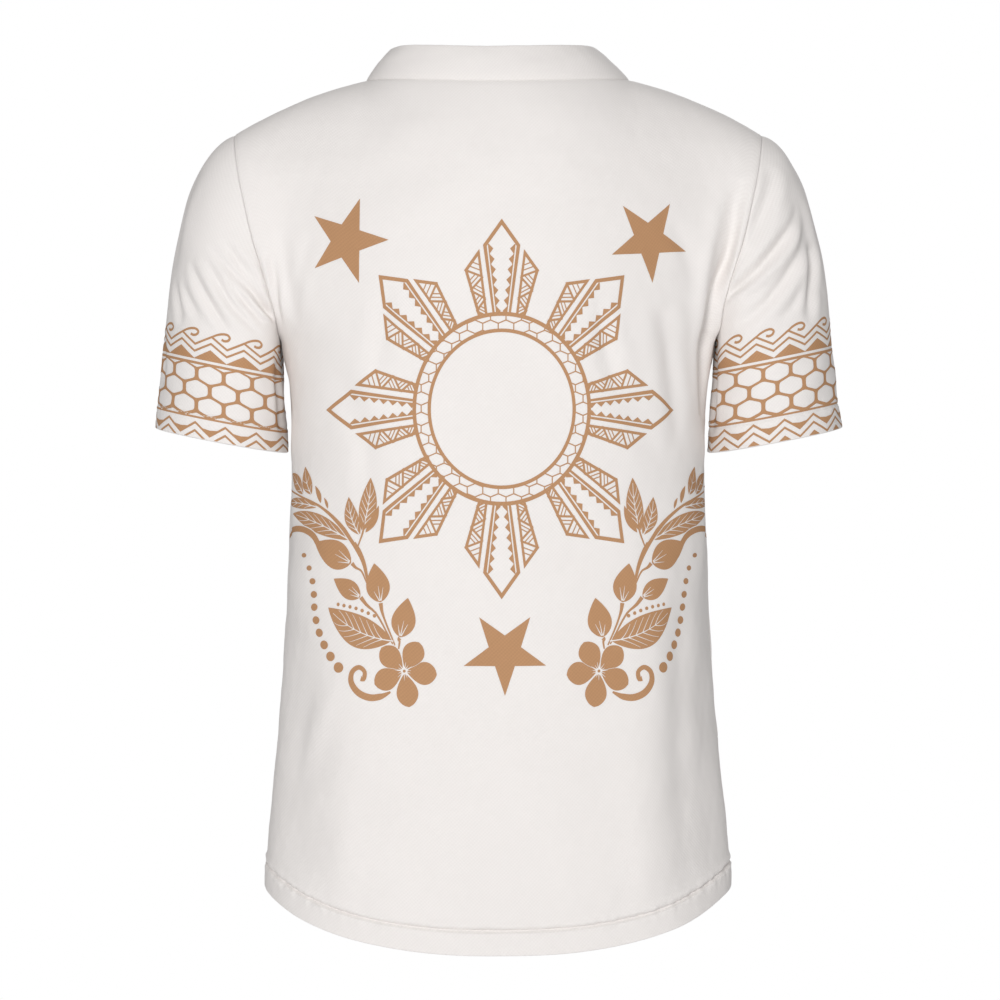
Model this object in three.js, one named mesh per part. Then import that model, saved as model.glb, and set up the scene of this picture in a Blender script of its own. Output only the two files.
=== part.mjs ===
// A short-sleeved rugby shirt, hollow and filled out as if worn. Millimetres, +Z up.
// The wearer's back faces -Y and the wearer's right arm is at +X. The origin is the middle of
// the neck, level with the inner ends of the shoulder seams.
import * as THREE from "three";

const { Vector3 } = THREE;

// Cloth
const clothWall = 1.5;
const bandWall = 2.4;
const bandBulge = 1.5;
const bandSway = -3.9;
const seamGap = 0.3;
const bandGap = 0.45;
const clothColour = "#efece8";

// Neck and shoulders
const neckHalf = 113.5;
const neckBack = 78;
const neckBackDrop = 8;
const veeDepth = 140;
const veeForward = 126;
const veeBow = 1.1;
const veeRound = 0.85;
const shoulderHalf = 225;
const shoulderDrop = 46;
const shoulderBow = 5.4;

// Armholes
const underarm = -222;
const armholeDepth = 65;
const armholeRound = 0.85;
const frontScoop = 7;

// Body
const sideLevel = -686;
const tailDrop = { back: 47, front: 36 };
const wingReach = 40;
const tailRound = 1.5;
const ringRound = 2.4;
const shoulderRound = 2.3;
const hemDepth = 20;
const hemRelief = 0.9;
const hemStep = 2;
const hemGroove = { above: 1, width: 2 };
const hemRidge = { above: 8, width: 5, share: 0.7 };

// Sleeves
const cuffOut = 237.2;
const cuffForward = 6;
const cuffLevel = -306.5;
const cuffHalfWidth = 57.8;
const cuffHalfDepth = 62;
const cuffTilt = THREE.MathUtils.degToRad(10.7);
const cuffNod = 3;
const cuffRound = 2.15;
const sleeveHeart = { out: 200, level: -134 };

// How finely the walls are divided
const panelColumns = 32;
const neckColumns = 14;
const bodyRows = 13;
const yokeRows = 12;
const sleeveRows = 7;
const bandRows = 4;
const fadeAtSeams = 14;
const halfPanel = 255;
const edgeStep = 0.004;
const hemRows = [0, 9, 18, 21, 28];
const hemFade = 40;
const cuffParallel = 70;
const cuffParallelRows = 3;
const chainSteps = 40;
const turnStep = 0.02;
const foldEnds = 0.7;

// Half width and depths of the body at each level, hem first
const bodyRings = [
  { z: -740, half: 195, back: 117, front: 133 },
  { z: -675, half: 198, back: 117, front: 134 },
  { z: -611, half: 193, back: 115, front: 132 },
  { z: -525, half: 185.5, back: 113, front: 129 },
  { z: -440, half: 180.5, back: 112, front: 127 },
  { z: -324, half: 177, back: 114, front: 129 },
  { z: -267, half: 178.4, back: 115.6, front: 130.6 },
  { z: underarm, half: 179.4, back: 116, front: 131 },
];

// Armhole seam as seen from behind, from the underarm (rise 0) to the shoulder (rise 1)
const armholeSeam = [
  { rise: 0, x: 186 },
  { rise: 0.1, x: 188 },
  { rise: 0.23, x: 193.5 },
  { rise: 0.35, x: 199.5 },
  { rise: 0.47, x: 206 },
  { rise: 0.6, x: 211.5 },
  { rise: 0.81, x: 219.5 },
  { rise: 1, x: shoulderHalf },
];

// How the sleeve cloth leaves the armhole and how it arrives at the cuff
const sleevePull = [
  { rise: 0, out: 0, back: 0, down: 60, endOut: -5, endDown: 95 },
  { rise: 0.5, out: 95, back: 12, down: 150, endOut: 14, endDown: 180 },
  { rise: 1, out: 171, back: 0, down: 69, endOut: 33, endDown: 247 },
];

// Neckband: how far its free edge stands in, forward and up from its seam.
// The place runs from the centre back (0) over the shoulder (1) to the point of the V (2).
const bandLean = [
  { place: 0, inward: 0, forward: 13, up: 31 },
  { place: 0.5, inward: 12, forward: 10, up: 30.5 },
  { place: 1, inward: 26, forward: 3, up: 27 },
  { place: 1.4, inward: 16, forward: -11, up: 30 },
  { place: 1.7, inward: 8, forward: -13, up: 37 },
  { place: 2, inward: 0, forward: -13, up: 46 },
];

// The largest folds of a panel: from one end to the other, measured on the cloth from the
// centre line and by level, with the middle bowed sideways. A negative depth is a trough.
const backFolds = [
  { x1: 236, z1: -95, x2: 214, z2: -300, bow: 14, width: 11, depth: -7 },
  { x1: 250, z1: -110, x2: 236, z2: -205, bow: 6, width: 9, depth: 4 },
  { x1: -238, z1: -140, x2: -228, z2: -215, bow: -4, width: 10, depth: -4 },
  { x1: 200, z1: -430, x2: 190, z2: -690, bow: 6, width: 24, depth: -6 },
  { x1: 150, z1: -520, x2: 140, z2: -700, bow: -6, width: 22, depth: 4 },
  { x1: -196, z1: -540, x2: -186, z2: -690, bow: 0, width: 22, depth: -4 },
  { x1: 120, z1: -200, x2: 150, z2: -360, bow: 6, width: 14, depth: -3 },
];
const frontFolds = [
  { x1: -236, z1: -105, x2: -206, z2: -290, bow: -12, width: 12, depth: -6 },
  { x1: 238, z1: -115, x2: 210, z2: -270, bow: 10, width: 12, depth: -5 },
  { x1: 185, z1: -420, x2: 170, z2: -690, bow: 8, width: 26, depth: -5 },
  { x1: -170, z1: -450, x2: -180, z2: -690, bow: -8, width: 26, depth: -6 },
  { x1: -60, z1: -330, x2: -80, z2: -560, bow: 10, width: 22, depth: -3 },
  { x1: 95, z1: -260, x2: 120, z2: -430, bow: 8, width: 18, depth: -3 },
];

// Sleeve folds run from the underarm up and outwards: x is measured round the arm from the
// underarm by way of the back, and z is the distance from the cuff.
const leftSleeveFolds = [
  { x1: 41, z1: 108, x2: 128, z2: 190, bow: 8, width: 7, depth: -6 },
  { x1: 56, z1: 84, x2: 138, z2: 176, bow: 8, width: 8, depth: -4 },
  { x1: 80, z1: 84, x2: 151, z2: 160, bow: 6, width: 8, depth: -3 },
  { x1: -43, z1: 108, x2: -130, z2: 184, bow: -8, width: 9, depth: -5 },
];
const rightSleeveFolds = [
  { x1: 32, z1: 112, x2: 134, z2: 205, bow: 14, width: 9, depth: -7 },
  { x1: 39, z1: 86, x2: 147, z2: 190, bow: 16, width: 9, depth: -6 },
  { x1: 121, z1: 96, x2: 158, z2: 170, bow: 4, width: 9, depth: -4 },
  { x1: -39, z1: 104, x2: -134, z2: 190, bow: -10, width: 9, depth: -5 },
];

const mix = (from, to, share) => from + (to - from) * share;

// A smooth curve through one column of a table
function readTable(rows, key, at, column) {
  const last = rows.length - 1;
  const place = THREE.MathUtils.clamp(at, rows[0][key], rows[last][key]);
  let k = 0;
  while (k < last - 1 && place > rows[k + 1][key]) k += 1;
  const slope = (i) => {
    const before = rows[Math.max(i - 1, 0)];
    const after = rows[Math.min(i + 1, last)];
    return (after[column] - before[column]) / (after[key] - before[key]);
  };
  const span = rows[k + 1][key] - rows[k][key];
  const s = (place - rows[k][key]) / span;
  const rest = (1 - s) ** 2;
  return (
    rows[k][column] * (1 + 2 * s) * rest +
    slope(k) * span * s * rest +
    rows[k + 1][column] * s * s * (3 - 2 * s) +
    slope(k + 1) * span * s * s * (s - 1)
  );
}

const faceName = (face) => (face < 0 ? "back" : "front");
const neckShare = neckColumns / panelColumns;

function hemLevel(face, u) {
  return sideLevel - tailDrop[faceName(face)] * Math.cos((u * Math.PI) / 2) ** tailRound;
}

// A point of the body's ring at one level, u from -1 to 1 between the side seams
function ringPoint(face, u, z) {
  const turn = (u * Math.PI) / 2;
  const half = readTable(bodyRings, "z", z, "half");
  const depth = readTable(bodyRings, "z", z, faceName(face));
  const across = Math.sign(u) * Math.abs(Math.sin(turn)) ** (2 / ringRound);
  return new Vector3(half * across, face * depth * Math.abs(Math.cos(turn)) ** (2 / ringRound), z);
}

// The neckline, from the centre (0) to the shoulder seam (1)
function neckline(face, share) {
  if (face < 0) {
    const turn = (share * Math.PI) / 2;
    const away = Math.cos(turn);
    return new Vector3(neckHalf * Math.sin(turn), -neckBack * away, -neckBackDrop * away ** 2);
  }
  const forward = veeForward * Math.max(0, 1 - share ** 2) ** veeRound;
  return new Vector3(neckHalf * share, forward, -veeDepth * (1 - share) ** veeBow);
}

// The upper edge of a panel: neckline in the middle, shoulder seams beside it
function topEdge(face, u) {
  const share = Math.abs(u);
  const side = Math.sign(u);
  if (share < neckShare) {
    const point = neckline(face, share / neckShare);
    point.x *= side;
    return point;
  }
  const along = (share - neckShare) / (1 - neckShare);
  const bow = shoulderBow * Math.sin(Math.PI * along);
  return new Vector3(side * mix(neckHalf, shoulderHalf, along), 0, bow - shoulderDrop * along);
}

function armhole(face, rise) {
  const swell = (2 * Math.sqrt(Math.max(0, rise * (1 - rise)))) ** armholeRound;
  const scoop = face > 0 ? frontScoop * swell ** 2 : 0;
  return new Vector3(
    readTable(armholeSeam, "rise", rise, "x") - scoop,
    face * armholeDepth * swell,
    mix(underarm, -shoulderDrop, rise),
  );
}

// A panel's column above the underarm turns over the shoulder, and the neckline cuts it short
function yokePoint(face, u, rise) {
  const foot = ringPoint(face, u, underarm);
  const top = topEdge(face, u);
  const left = Math.min(1, foot.y ? top.y / foot.y : 0);
  const reach = (1 - left ** shoulderRound) ** (1 / shoulderRound);
  const arc = 1 - Math.max(0, 1 - (reach * rise) ** shoulderRound) ** (1 / shoulderRound);
  const lean = arc / (1 - left);
  return new Vector3(mix(foot.x, top.x, lean), mix(foot.y, top.y, lean), mix(foot.z, top.z, rise));
}

// A panel before it is folded: level 0 is the hem, 1 the underarm, 2 the upper edge
function panelForm(face, u, level) {
  const side = Math.sign(u) || 1;
  const rise = Math.max(0, level - 1);
  const toSeam = armhole(face, rise);
  toSeam.x *= side;
  toSeam.sub(yokePoint(face, side, rise)).multiplyScalar(u ** 4);
  if (level > 1) return yokePoint(face, u, rise).add(toSeam);
  const z = mix(hemLevel(face, u), underarm, level);
  const wing = 1 - THREE.MathUtils.smoothstep(underarm - z, 0, wingReach);
  return ringPoint(face, u, z).addScaledVector(toSeam, wing);
}

// One sleeve column as a chain of points from the cuff up to the armhole
function sleeveChain(turn) {
  const face = Math.sin(turn) >= 0 ? -1 : 1;
  const rise = (1 - Math.cos(turn)) / 2;
  const start = armhole(face, rise).add(new Vector3(seamGap, 0, 0));
  const outward = -Math.sign(Math.cos(turn)) * Math.abs(Math.cos(turn)) ** (2 / cuffRound);
  const around = face * Math.abs(Math.sin(turn)) ** (2 / cuffRound);
  const end = new Vector3(
    cuffOut + cuffHalfWidth * outward * Math.cos(cuffTilt),
    cuffForward + cuffHalfDepth * around,
    cuffLevel + cuffHalfWidth * outward * Math.sin(cuffTilt) + cuffNod * around,
  );
  const pull = (column) => readTable(sleevePull, "rise", rise, column);
  const leave = new Vector3(pull("out"), face * pull("back"), -pull("down"));
  const arrive = new Vector3(pull("endOut"), 0, -pull("endDown"));
  const chain = [];
  let run = 0;
  for (let i = 0; i <= chainSteps; i += 1) {
    const s = 1 - i / chainSteps;
    const rest = (1 - s) ** 2;
    const point = new Vector3()
      .addScaledVector(start, (1 + 2 * s) * rest)
      .addScaledVector(leave, s * rest)
      .addScaledVector(end, s * s * (3 - 2 * s))
      .addScaledVector(arrive, s * s * (s - 1));
    if (i > 0) run += point.distanceTo(chain[i - 1].point);
    chain.push({ up: run, point });
  }
  return chain;
}

function chainPoint(chain, up) {
  let k = 1;
  while (k < chain.length - 1 && chain[k].up < up) k += 1;
  const share = (up - chain[k - 1].up) / (chain[k].up - chain[k - 1].up);
  return chain[k - 1].point.clone().lerp(chain[k].point, share);
}

// Height of a fold at a place: a soft trough or ridge along a bowed line
function foldHeight(place, from, to, bow, width, depth) {
  const run = to.clone().sub(from);
  const length = run.length();
  const offset = place.clone().sub(from);
  const along = offset.dot(run) / length ** 2;
  if (along <= 0 || along >= 1) return 0;
  const beside = offset.cross(run) / length - bow * 4 * along * (1 - along);
  return depth * Math.sin(along * Math.PI) ** foldEnds * Math.exp(-((beside / width) ** 2));
}

// A hem is turned under: thicker up to its stitching, with a groove there and a ridge above
function hemHeight(up) {
  const band = THREE.MathUtils.smoothstep(hemDepth - up, 0, hemStep);
  const above = (line) => Math.exp(-(((up - hemDepth - line.above) / line.width) ** 2));
  return hemRelief * (band - above(hemGroove) + hemRidge.share * above(hemRidge));
}

const fade = (distance) => THREE.MathUtils.smoothstep(distance, 0, fadeAtSeams);

// A closed wall: a grid of outer points and the same grid moved inwards, joined at its edges.
// point(i, j) and inward(i, j) give column i of row j; a tube's last column joins its first.
function wallMesh(name, columns, rows, isTube, point, inward) {
  const across = isTube ? columns : columns + 1;
  const layer = across * (rows + 1);
  const positions = [];
  const outer = [];
  for (let j = 0; j <= rows; j += 1) {
    for (let i = 0; i < across; i += 1) outer.push(point(i, j));
  }
  outer.forEach((p) => positions.push(p.x, p.y, p.z));
  for (let j = 0; j <= rows; j += 1) {
    for (let i = 0; i < across; i += 1) {
      const p = outer[j * across + i].clone().add(inward(i, j));
      positions.push(p.x, p.y, p.z);
    }
  }
  const at = (i, j, inner) => (inner ? layer : 0) + j * across + (i % across);
  const faces = [];
  const quad = (a, b, c, d) => faces.push(a, b, c, a, c, d);
  for (let j = 0; j < rows; j += 1) {
    for (let i = 0; i < columns; i += 1) {
      quad(at(i, j), at(i + 1, j), at(i + 1, j + 1), at(i, j + 1));
      quad(at(i, j, 1), at(i, j + 1, 1), at(i + 1, j + 1, 1), at(i + 1, j, 1));
    }
  }
  for (let i = 0; i < columns; i += 1) {
    quad(at(i, 0), at(i, 0, 1), at(i + 1, 0, 1), at(i + 1, 0));
    quad(at(i, rows), at(i + 1, rows), at(i + 1, rows, 1), at(i, rows, 1));
  }
  for (let j = 0; j < rows && !isTube; j += 1) {
    quad(at(0, j), at(0, j + 1), at(0, j + 1, 1), at(0, j, 1));
    quad(at(columns, j), at(columns, j, 1), at(columns, j + 1, 1), at(columns, j + 1));
  }
  const geometry = new THREE.BufferGeometry();
  geometry.setAttribute("position", new THREE.Float32BufferAttribute(positions, 3));
  geometry.setIndex(signedVolume(positions, faces) < 0 ? faces.reverse() : faces);
  geometry.computeVertexNormals();
  const material = new THREE.MeshStandardMaterial({ color: clothColour, roughness: 0.85, metalness: 0 });
  const mesh = new THREE.Mesh(geometry, material);
  mesh.name = name;
  return mesh;
}

function signedVolume(positions, faces) {
  const corner = (k) => new Vector3().fromArray(positions, faces[k] * 3);
  let volume = 0;
  for (let k = 0; k < faces.length; k += 3) {
    volume += corner(k).dot(corner(k + 1).cross(corner(k + 2))) / 6;
  }
  return volume;
}

// The unit normal of two directions on the cloth, turned to face away from the hollow's heart
function outwardNormal(alongA, alongB, point, heart) {
  const normal = alongA.clone().cross(alongB).normalize();
  return normal.dot(point.clone().sub(heart)) < 0 ? normal.negate() : normal;
}

function panelNormal(face, u, level) {
  if (level > 2 - edgeStep && Math.abs(u) >= neckShare) {
    const seam = new Vector3(shoulderDrop * Math.sign(u), 0, shoulderHalf - neckHalf);
    return seam.normalize();
  }
  const a = THREE.MathUtils.clamp(u, edgeStep - 1, 1 - edgeStep);
  const b = THREE.MathUtils.clamp(level, edgeStep, 2 - edgeStep);
  const alongA = panelForm(face, a + edgeStep, b).sub(panelForm(face, a - edgeStep, b));
  const alongB = panelForm(face, a, b + edgeStep).sub(panelForm(face, a, b - edgeStep));
  const point = panelForm(face, a, b);
  const heart = new Vector3(0, 0, Math.min(point.z, underarm));
  return outwardNormal(alongA, alongB, point, heart);
}

// The step from the neck seam into the panel that leaves half of the seam's gap
function neckInset(face, u) {
  const inside = Math.min(Math.abs(u), neckShare - edgeStep) * Math.sign(u);
  const along = topEdge(face, inside + edgeStep / 2).sub(topEdge(face, inside - edgeStep / 2));
  const seam = topEdge(face, u);
  const step = along.cross(panelNormal(face, inside, 2)).setLength(seamGap / 2);
  const aboveNeck = new Vector3(0, 0, neckHalf);
  return step.dot(seam.sub(aboveNeck)) < 0 ? step.negate() : step;
}

function foldsHeight(folds, place) {
  let height = 0;
  folds.forEach((fold) => {
    const from = new THREE.Vector2(fold.x1, fold.z1);
    const to = new THREE.Vector2(fold.x2, fold.z2);
    height += foldHeight(place, from, to, fold.bow, fold.width, fold.depth);
  });
  return height;
}

// Front and back panels
function makePanel(name, face, folds) {
  const rows = hemRows.length + bodyRows + yokeRows;
  const levelOf = (u, j) => {
    const drop = underarm - hemLevel(face, u);
    const bodyStart = hemRows.length;
    if (j < bodyStart) return hemRows[j] / drop;
    if (j <= bodyStart + bodyRows) return mix(hemFade / drop, 1, (j - bodyStart) / bodyRows);
    const turn = ((j - bodyStart - bodyRows) * Math.PI) / yokeRows;
    return 1 + (1 - Math.cos(turn)) / 2;
  };
  const uOf = (i) => (2 * i) / panelColumns - 1;
  const point = (i, j) => {
    const u = uOf(i);
    const level = levelOf(u, j);
    const place = panelForm(face, u, level);
    const up = level * (underarm - hemLevel(face, u));
    const toEdges = fade((1 - Math.abs(u)) * halfPanel) * fade((2 - level) * -underarm);
    const folded = foldsHeight(folds, new THREE.Vector2(u * halfPanel, place.z)) * toEdges;
    const height = folded * THREE.MathUtils.smoothstep(up, hemDepth, 2 * hemFade) + hemHeight(up);
    place.addScaledVector(panelNormal(face, u, level), height);
    place.y += (face * seamGap) / 2;
    if (j === rows && Math.abs(u) <= neckShare) place.add(neckInset(face, u));
    return place;
  };
  const inward = (i, j) => panelNormal(face, uOf(i), levelOf(uOf(i), j)).multiplyScalar(-clothWall);
  return wallMesh(name, panelColumns, rows, false, point, inward);
}

// Sleeves: the columns meet the panels' rows at the armhole seam, and side is +1 at +X
function makeSleeve(name, side, folds) {
  const columns = 2 * yokeRows;
  const rows = hemRows.length + cuffParallelRows + sleeveRows;
  const chains = new Map();
  const form = (turn, up) => {
    const key = turn.toFixed(6);
    if (!chains.has(key)) chains.set(key, sleeveChain(turn));
    const chain = chains.get(key);
    return chainPoint(chain, Math.min(up, chain[chain.length - 1].up));
  };
  const lengthOf = (turn) => {
    form(turn, 0);
    return chains.get(turn.toFixed(6)).at(-1).up;
  };
  const turnOf = (i) => (i * 2 * Math.PI) / columns;
  const upOf = (turn, j) => {
    const start = hemRows.length;
    if (j < start) return hemRows[j];
    const parallel = j - start;
    if (parallel <= cuffParallelRows) return mix(hemFade, cuffParallel, parallel / cuffParallelRows);
    return mix(cuffParallel, lengthOf(turn), (parallel - cuffParallelRows) / sleeveRows);
  };
  const normalAt = (turn, up) => {
    const middle = THREE.MathUtils.clamp(up, 1, lengthOf(turn) - 1);
    const alongA = form(turn + turnStep, middle).sub(form(turn - turnStep, middle));
    const alongB = form(turn, middle + 1).sub(form(turn, middle - 1));
    const share = middle / lengthOf(turn);
    const heart = new Vector3(mix(cuffOut, sleeveHeart.out, share), 0, 0);
    heart.z = mix(cuffLevel, sleeveHeart.level, share);
    return outwardNormal(alongA, alongB, form(turn, middle), heart);
  };
  const point = (i, j) => {
    const turn = turnOf(i);
    const up = upOf(turn, j);
    const place = form(turn, up);
    const round = turn > Math.PI ? turn - 2 * Math.PI : turn;
    const cloth = new THREE.Vector2(round * cuffHalfDepth, up);
    const folded = foldsHeight(folds, cloth) * fade(lengthOf(turn) - up);
    const height = folded * THREE.MathUtils.smoothstep(up, hemDepth, 2 * hemFade) + hemHeight(up);
    place.addScaledVector(normalAt(turn, up), height);
    place.x *= side;
    return place;
  };
  const inward = (i, j) => {
    const turn = turnOf(i);
    const step = normalAt(turn, upOf(turn, j)).multiplyScalar(-clothWall);
    step.x *= side;
    return step;
  };
  return wallMesh(name, columns, rows, true, point, inward);
}

// The neckband: a doubled strip that stands on the neckline all the way round
function makeNeckband() {
  const columns = 2 * neckColumns;
  const stationOf = (i) => {
    const k = (i + columns) % columns;
    const face = k <= neckColumns ? -1 : 1;
    const share = face < 0 ? (2 * k) / neckColumns - 1 : 3 - (2 * k) / neckColumns;
    const place = face < 0 ? Math.abs(share) : 2 - Math.abs(share);
    const read = (column) => readTable(bandLean, "place", place, column);
    const inwards = bandSway - Math.sign(share) * read("inward");
    const lean = new Vector3(inwards, read("forward"), read("up"));
    const seam = neckline(face, Math.abs(share));
    seam.x *= Math.sign(share);
    return { face, u: share * neckShare, seam, lean };
  };
  const normalAt = (i) => {
    const { seam, lean } = stationOf(i);
    const along = stationOf(i + 1).seam.sub(stationOf(i - 1).seam);
    return outwardNormal(along, lean, seam, new Vector3(0, 0, seam.z));
  };
  const point = (i, j) => {
    const { seam, lean } = stationOf(i);
    const share = Math.max(j / bandRows, bandGap / lean.length());
    const bulge = 4 * bandBulge * share * (1 - share);
    return seam.addScaledVector(lean, share).addScaledVector(normalAt(i), bulge);
  };
  const inward = (i, j) => {
    const { face, u } = stationOf(i);
    const atSeam = panelNormal(face, u, 2);
    return atSeam.lerp(normalAt(i), Math.min(1, (2 * j) / bandRows)).setLength(-bandWall);
  };
  return wallMesh("neckband", columns, bandRows, true, point, inward);
}

const shirt = new THREE.Group();
shirt.add(makePanel("back_panel", -1, backFolds));
shirt.add(makePanel("front_panel", 1, frontFolds));
shirt.add(makeSleeve("sleeve_left", -1, leftSleeveFolds));
shirt.add(makeSleeve("sleeve_right", 1, rightSleeveFolds));
shirt.add(makeNeckband());

export default shirt;
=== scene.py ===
import math

import bpy
import numpy as np
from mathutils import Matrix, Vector, geometry


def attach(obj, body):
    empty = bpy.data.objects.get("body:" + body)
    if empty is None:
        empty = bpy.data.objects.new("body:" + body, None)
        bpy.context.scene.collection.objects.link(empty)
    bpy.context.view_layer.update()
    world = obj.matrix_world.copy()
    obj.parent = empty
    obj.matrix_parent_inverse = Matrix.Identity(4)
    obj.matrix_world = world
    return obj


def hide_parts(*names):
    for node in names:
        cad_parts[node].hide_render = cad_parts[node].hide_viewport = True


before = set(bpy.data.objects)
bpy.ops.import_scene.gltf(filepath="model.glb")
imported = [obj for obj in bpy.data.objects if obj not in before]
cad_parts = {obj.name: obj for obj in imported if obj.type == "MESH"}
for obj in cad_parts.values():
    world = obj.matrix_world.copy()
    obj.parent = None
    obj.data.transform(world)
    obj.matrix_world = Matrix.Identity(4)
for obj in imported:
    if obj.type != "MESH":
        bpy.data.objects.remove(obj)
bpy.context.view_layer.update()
print("the cut pieces are loaded")

mm = 0.001  # lengths are in millimetres until a mesh is made


# Finishes


class Wire:  # one socket of a node tree, written into expressions
    def __init__(self, tree, socket=None):
        self.tree, self.socket = tree, socket

    def node(self, kind, settings, sockets, output=0):
        made = self.tree.nodes.new(kind)
        for name, value in settings.items():
            setattr(made, name, value)
        for name, value in sockets.items():
            if isinstance(value, Wire):
                self.tree.links.new(value.socket, made.inputs[name])
            else:
                made.inputs[name].default_value = value
        return Wire(self.tree, made.outputs[output]) if len(made.outputs) else self

    def maths(self, operation, first, second=0.0):
        return self.node("ShaderNodeMath", {"operation": operation}, {0: first, 1: second})

    def __add__(self, other):
        return self.maths("ADD", self, other)

    def __sub__(self, other):
        return self.maths("SUBTRACT", self, other)

    def __rsub__(self, other):
        return self.maths("SUBTRACT", other, self)

    def __mul__(self, other):
        return self.maths("MULTIPLY", self, other)

    __radd__ = __add__
    __rmul__ = __mul__

    def sine(self):
        return self.maths("SINE", self)

    def between(self, first, second):  # a colour mix by this socket's value
        sockets = {0: self, 6: (*first, 1), 7: (*second, 1)}
        return self.node("ShaderNodeMix", {"data_type": "RGBA"}, sockets, 2)


# the knit's colour also darkens in the weave's grooves: painted shade
knit = {
    "rib": 2.3, "cross": 2.1, "ribHeight": 0.6, "crossHeight": 0.4, "depth": 0.07, "wander": 3,
    "wanderScale": 0.05, "cloudScale": 0.012, "weaveShade": 0.22, "cloudTone": 0.5, "midTone": 0.25,
    "roughness": 0.78, "roughening": 0.1, "bump": 0.5,
}
# for the knit and the ink, the shaded colour is reached in the weave's grooves (painted shade) and in
# darker random patches; the thread's varies at random along its twist
tones = {
    "knit": {"pale": (0.875, 0.84, 0.818), "shaded": (0.80, 0.762, 0.74), "sheen": 0.05},
    "ink": {"pale": (0.53, 0.288, 0.143), "shaded": (0.42, 0.222, 0.107), "sheen": 0.0},
    "thread": {"pale": (0.90, 0.88, 0.85), "shaded": (0.82, 0.80, 0.77)},
}


def startFinish(name):
    material = bpy.data.materials.new(name)
    material.use_nodes = True
    material.node_tree.nodes.clear()
    return material, Wire(material.node_tree)


def closeFinish(wire, colour, roughness, normal=None, sheen=0.0):
    sockets = {"Base Color": colour, "Roughness": roughness, "Sheen Weight": sheen, "Sheen Roughness": 0.5}
    if normal:
        sockets["Normal"] = normal
    shader = wire.node("ShaderNodeBsdfPrincipled", {}, sockets)
    wire.node("ShaderNodeOutputMaterial", {}, {"Surface": shader})


def clothFinish(name, pale, shaded, sheen):
    # fine slanting ribs crossed by a weaker set, in the cloth's own coordinates; the colour darkens where
    # they lie low, as painted shade in the grooves
    material, wire = startFinish(name)
    place = wire.node("ShaderNodeUVMap", {"uv_map": "cloth"}, {})
    across = wire.node("ShaderNodeSeparateXYZ", {}, {0: place}, 0)
    along = wire.node("ShaderNodeSeparateXYZ", {}, {0: place}, 1)
    turn = 2 * math.pi / math.sqrt(2)
    slow = {"Vector": place, "Scale": knit["wanderScale"], "Detail": 2.0}
    wander = wire.node("ShaderNodeTexNoise", {}, slow, 0)
    ribs = ((across - along) * (turn / knit["rib"]) + wander * knit["wander"]).sine()
    crossing = ((across + along) * (turn / knit["cross"])).sine()
    height = ribs * knit["ribHeight"] + crossing * knit["crossHeight"]
    broad = {"Vector": place, "Scale": knit["cloudScale"], "Detail": 3.0}
    clouds = wire.node("ShaderNodeTexNoise", {}, broad, 0)
    # painted shade in the weave's grooves, plus slow random patches of tone
    tone = height * knit["weaveShade"] + clouds * knit["cloudTone"] + knit["midTone"]
    colour = tone.between(shaded, pale)
    bump = {"Height": height, "Strength": knit["bump"], "Distance": knit["depth"] * mm}
    normal = wire.node("ShaderNodeBump", {}, bump)
    closeFinish(wire, colour, clouds * knit["roughening"] + knit["roughness"], normal, sheen)
    return material


def paperFinish(tone):
    material, wire = startFinish("floor_paper")
    closeFinish(wire, (tone, tone, tone, 1), 0.8)
    return material


def threadFinish(pale, shaded):
    material, wire = startFinish("sewing_thread")
    place = wire.node("ShaderNodeTexCoord", {}, {}, "Object")
    twist = wire.node("ShaderNodeTexNoise", {}, {"Vector": place, "Scale": 2500.0, "Detail": 1.0}, 0)
    closeFinish(wire, twist.between(shaded, pale), 0.6)
    return material


# Camera, lights and room

cameraSetup = {"eye": (1.7, -2857.0, -358.0), "lens": 120.0, "sensor": 36.0}
lampSetup = {  # places and sizes in metres, powers in watts
    "key": {"place": (-0.5, -3.4, 0.35), "aim": (0, 0, -0.35), "size": 1.0, "power": 67},
    "fill": {"place": (2.2, -2.2, 1.4), "aim": (0, 0, -0.2), "size": 2.4, "power": 8},
    "front": {"place": (0.6, 3.4, 0.9), "aim": (0, 0, -0.35), "size": 2.6, "power": 60},
}
roomSetup = {"ambient": 0.34, "floorLevel": -1500, "floorRadius": 4000, "floorSides": 96, "floorTone": 0.9}


def makeCamera():
    camera = bpy.data.objects.new("camera", bpy.data.cameras.new("camera"))
    camera.data.lens, camera.data.sensor_width = cameraSetup["lens"], cameraSetup["sensor"]
    camera.location = [value * mm for value in cameraSetup["eye"]]
    camera.rotation_euler = (math.pi / 2, 0, 0)
    bpy.context.scene.collection.objects.link(camera)
    bpy.context.scene.camera = camera


def makeLamps():
    for name, setup in lampSetup.items():
        lamp = bpy.data.lights.new(name, "AREA")
        lamp.shape, lamp.size, lamp.energy = "DISK", setup["size"], setup["power"]
        holder = bpy.data.objects.new(name, lamp)
        holder.location = setup["place"]
        away = np.array(setup["aim"]) - np.array(setup["place"])
        yaw = math.atan2(away[1], away[0]) - math.pi / 2
        pitch = math.atan2(away[2], math.hypot(away[0], away[1])) + math.pi / 2
        holder.rotation_euler = (pitch, 0, yaw)
        bpy.context.scene.collection.objects.link(holder)


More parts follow.
